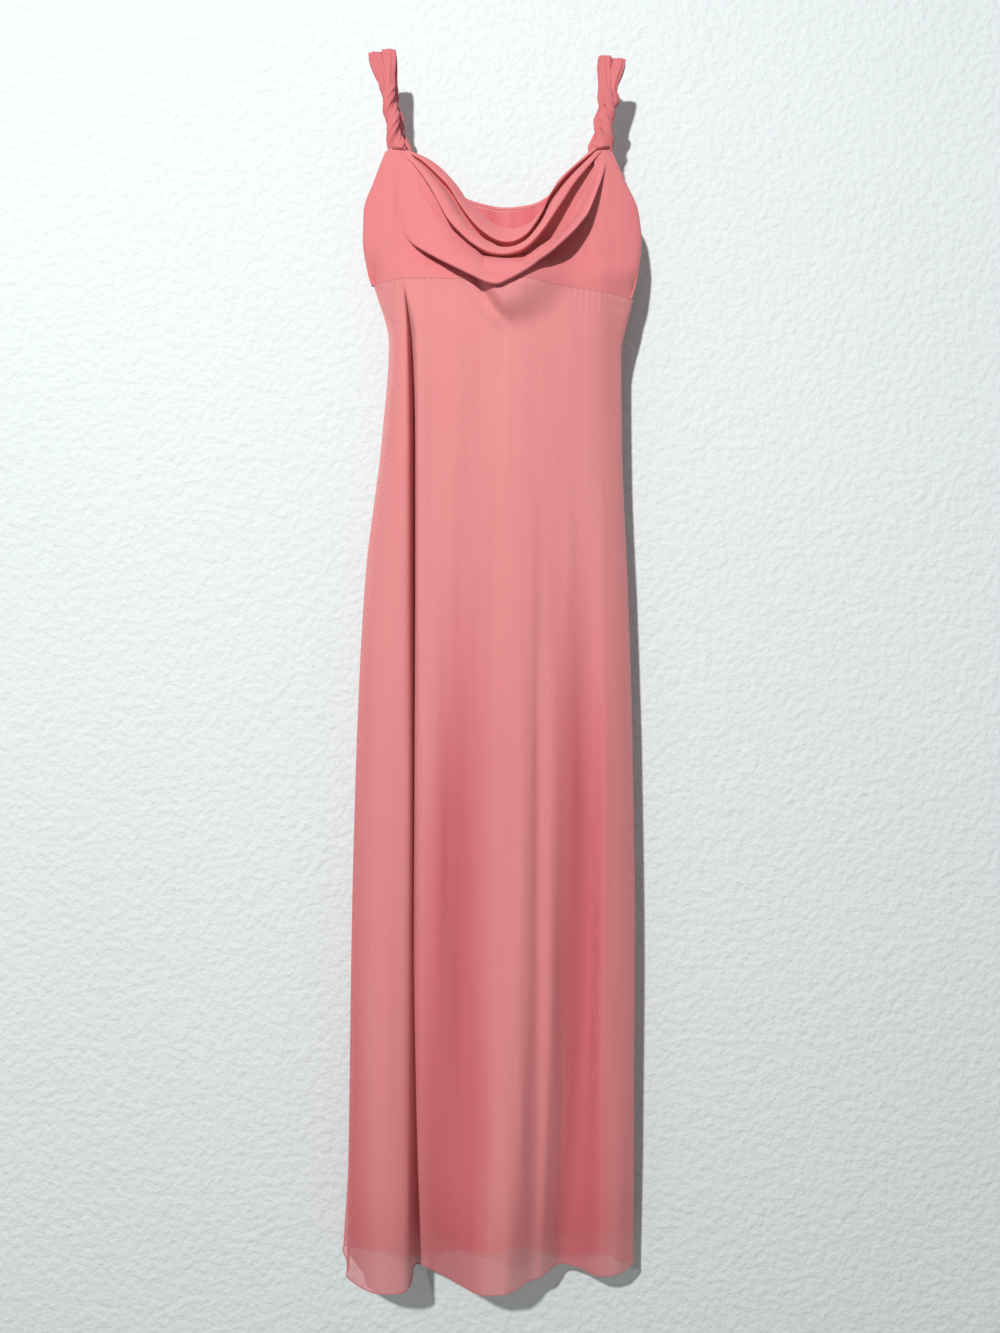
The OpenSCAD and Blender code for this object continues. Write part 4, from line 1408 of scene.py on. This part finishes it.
@dataclass(frozen=True)
class Studio:
    """Plain pale wall and floor, soft light and the camera."""

    eye: tuple[float, float, float] = (0.0037, -1.248, -0.752)
    lens: float = 27.2
    wall_y: float = 0.064
    floor_z: float = -1.72
    key_at: tuple[float, float, float] = (-0.79, -2.9, 0.75)
    key_watts: float = 113.0
    key_size: float = 0.13
    key_aim: tuple[float, float, float] = (0.5, 0.0, -1.8)
    fills: tuple = (("back fill", (0.9, 2.4, 0.4), 40.0, 1.6, (0.0, 0.0, -0.7)),
                    ("back side fill", (-1.6, 1.9, -0.4), 24.0, 1.4, (0.0, 0.0, -0.8)))
    world_strength: float = 0.3
    seen_strength: float = 0.86     # brightness of the room where nothing stands before it
    wall_reach: float = 3.0
    wall_top: float = 1.8
    floor_radius: float = 1.9
    floor_sides: int = 96
    grain_scale: float = 105.0      # of the plaster
    first_ray: float = 1.5          # the wall lets light through to what the camera sees directly

    def surface(self, name: str, light: Colour, deep: Colour, bump: float,
                bounce: Colour | None = None) -> bpy.types.Material:
        """Painted plaster that is seen from its front only.

        Args:
            name: Name of the material.
            light: Lighter colour.
            deep: Darker colour.
            bump: Depth of the plaster's grain in metres.
            bounce: Colour of the light that it throws back, None for its own colour.

        Returns:
            The material.
        """
        made, desk, shader, out = open_material(name)
        shader.inputs["Roughness"].default_value = 0.9
        shader.inputs["Specular IOR Level"].default_value = 0.2
        place = desk.place()
        colour = desk.mix(desk.noise(place, 3.0, 2.0), light, deep)
        seen = desk.node("ShaderNodeLightPath").outputs["Is Camera Ray"]
        desk.link(desk.mix(seen, bounce, colour) if bounce else colour, shader.inputs["Base Color"])
        grain = desk.noise(place, self.grain_scale, 2.0, 0.5)
        desk.link(desk.bump(grain, 0.8, bump), shader.inputs["Normal"])
        clear = desk.node("ShaderNodeBsdfTransparent")
        choice = desk.node("ShaderNodeMixShader")
        behind = desk.node("ShaderNodeNewGeometry").outputs["Backfacing"]
        path = desk.node("ShaderNodeLightPath")
        near = desk.math("LESS_THAN", path.outputs["Ray Depth"], self.first_ray)
        shadow = desk.math("MULTIPLY", path.outputs["Is Shadow Ray"], near)
        desk.link(desk.math("MAXIMUM", behind, shadow), choice.inputs[0])
        desk.link(shader.outputs[0], choice.inputs[1])
        desk.link(clear.outputs[0], choice.inputs[2])
        desk.link(choice.outputs[0], out.inputs["Surface"])
        return made

    def slab(self, name: str, corners: Sequence[tuple[float, float, float]],
             material: bpy.types.Material) -> None:
        """One flat piece of the room."""
        mesh = bpy.data.meshes.new(name)
        mesh.from_pydata(list(corners), [], [tuple(range(len(corners)))])
        piece = bpy.data.objects.new(name, mesh)
        bpy.context.scene.collection.objects.link(piece)
        piece.data.materials.append(material)

    def lamp(self, name: str, at: tuple[float, float, float], watts: float, size: float,
             aim: tuple[float, float, float]) -> None:
        """A round area light that points at a place."""
        data = bpy.data.lights.new(name, "AREA")
        data.shape, data.size, data.energy = "DISK", size, watts
        lamp = bpy.data.objects.new(name, data)
        lamp.location = at
        lamp.rotation_mode = "QUATERNION"
        lamp.rotation_quaternion = (Vector(aim) - Vector(at)).to_track_quat("-Z", "Y")
        bpy.context.scene.collection.objects.link(lamp)

    def build(self) -> None:
        """Makes the room, the lights and the camera."""
        wall = self.surface("wall paint", paint(225, 231, 231), paint(221, 227, 227), 0.0032)
        floor = self.surface("floor", paint(214, 213, 210), paint(205, 204, 201), 0.0006,
                             bounce=paint(110, 109, 107))
        y, z = self.wall_y, self.floor_z
        reach, top = self.wall_reach, self.wall_top
        self.slab("wall", [(-reach, y, z), (reach, y, z), (reach, y, top), (-reach, y, top)], wall)
        turns = [2 * math.pi * i / self.floor_sides for i in range(self.floor_sides)]
        self.slab("floor", [(self.floor_radius * math.cos(a), self.floor_radius * math.sin(a), z)
                            for a in turns], floor)
        self.lamp("key", self.key_at, self.key_watts, self.key_size, self.key_aim)
        for fill in self.fills:
            self.lamp(*fill)
        world = bpy.data.worlds.new("pale room")
        world.use_nodes = True
        desk = NodeDesk(world.node_tree)
        sky = desk.node("ShaderNodeBackground")
        sky.inputs["Color"].default_value = (0.95, 0.98, 1.0, 1.0)
        seen = desk.node("ShaderNodeLightPath").outputs["Is Camera Ray"]
        extra = desk.math("MULTIPLY", seen, self.seen_strength - self.world_strength)
        desk.link(desk.math("ADD", extra, self.world_strength), sky.inputs["Strength"])
        desk.link(sky.outputs[0], desk.node("ShaderNodeOutputWorld").inputs["Surface"])
        scene = bpy.context.scene
        scene.world = world
        scene.view_settings.view_transform = "Standard"
        data = bpy.data.cameras.new("camera")
        data.lens, data.sensor_width = self.lens, 36.0
        data.clip_start, data.clip_end = 0.05, 30.0
        camera = bpy.data.objects.new("camera", data)
        camera.location = self.eye
        camera.rotation_euler = (math.pi / 2, 0.0, 0.0)
        scene.collection.objects.link(camera)
        scene.camera = camera


def main() -> None:
    """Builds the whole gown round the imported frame."""
    logging.basicConfig(level=logging.INFO, format="%(name)s: %(message)s")
    Studio().build()
    Gown().build()
    Strap(-1, (-123, -11, -118), (-117, 11, -112)).build()
    Strap(1, (131, -11, -117), (124, 11, -111), loop_z=-4.0, lump=7.0).build()
    SideZip().build()
    SewnLabel("size_label", 0.2).build()
    SewnLabel("care_label", 1.5).build()


if __name__ == "__main__":
    main()
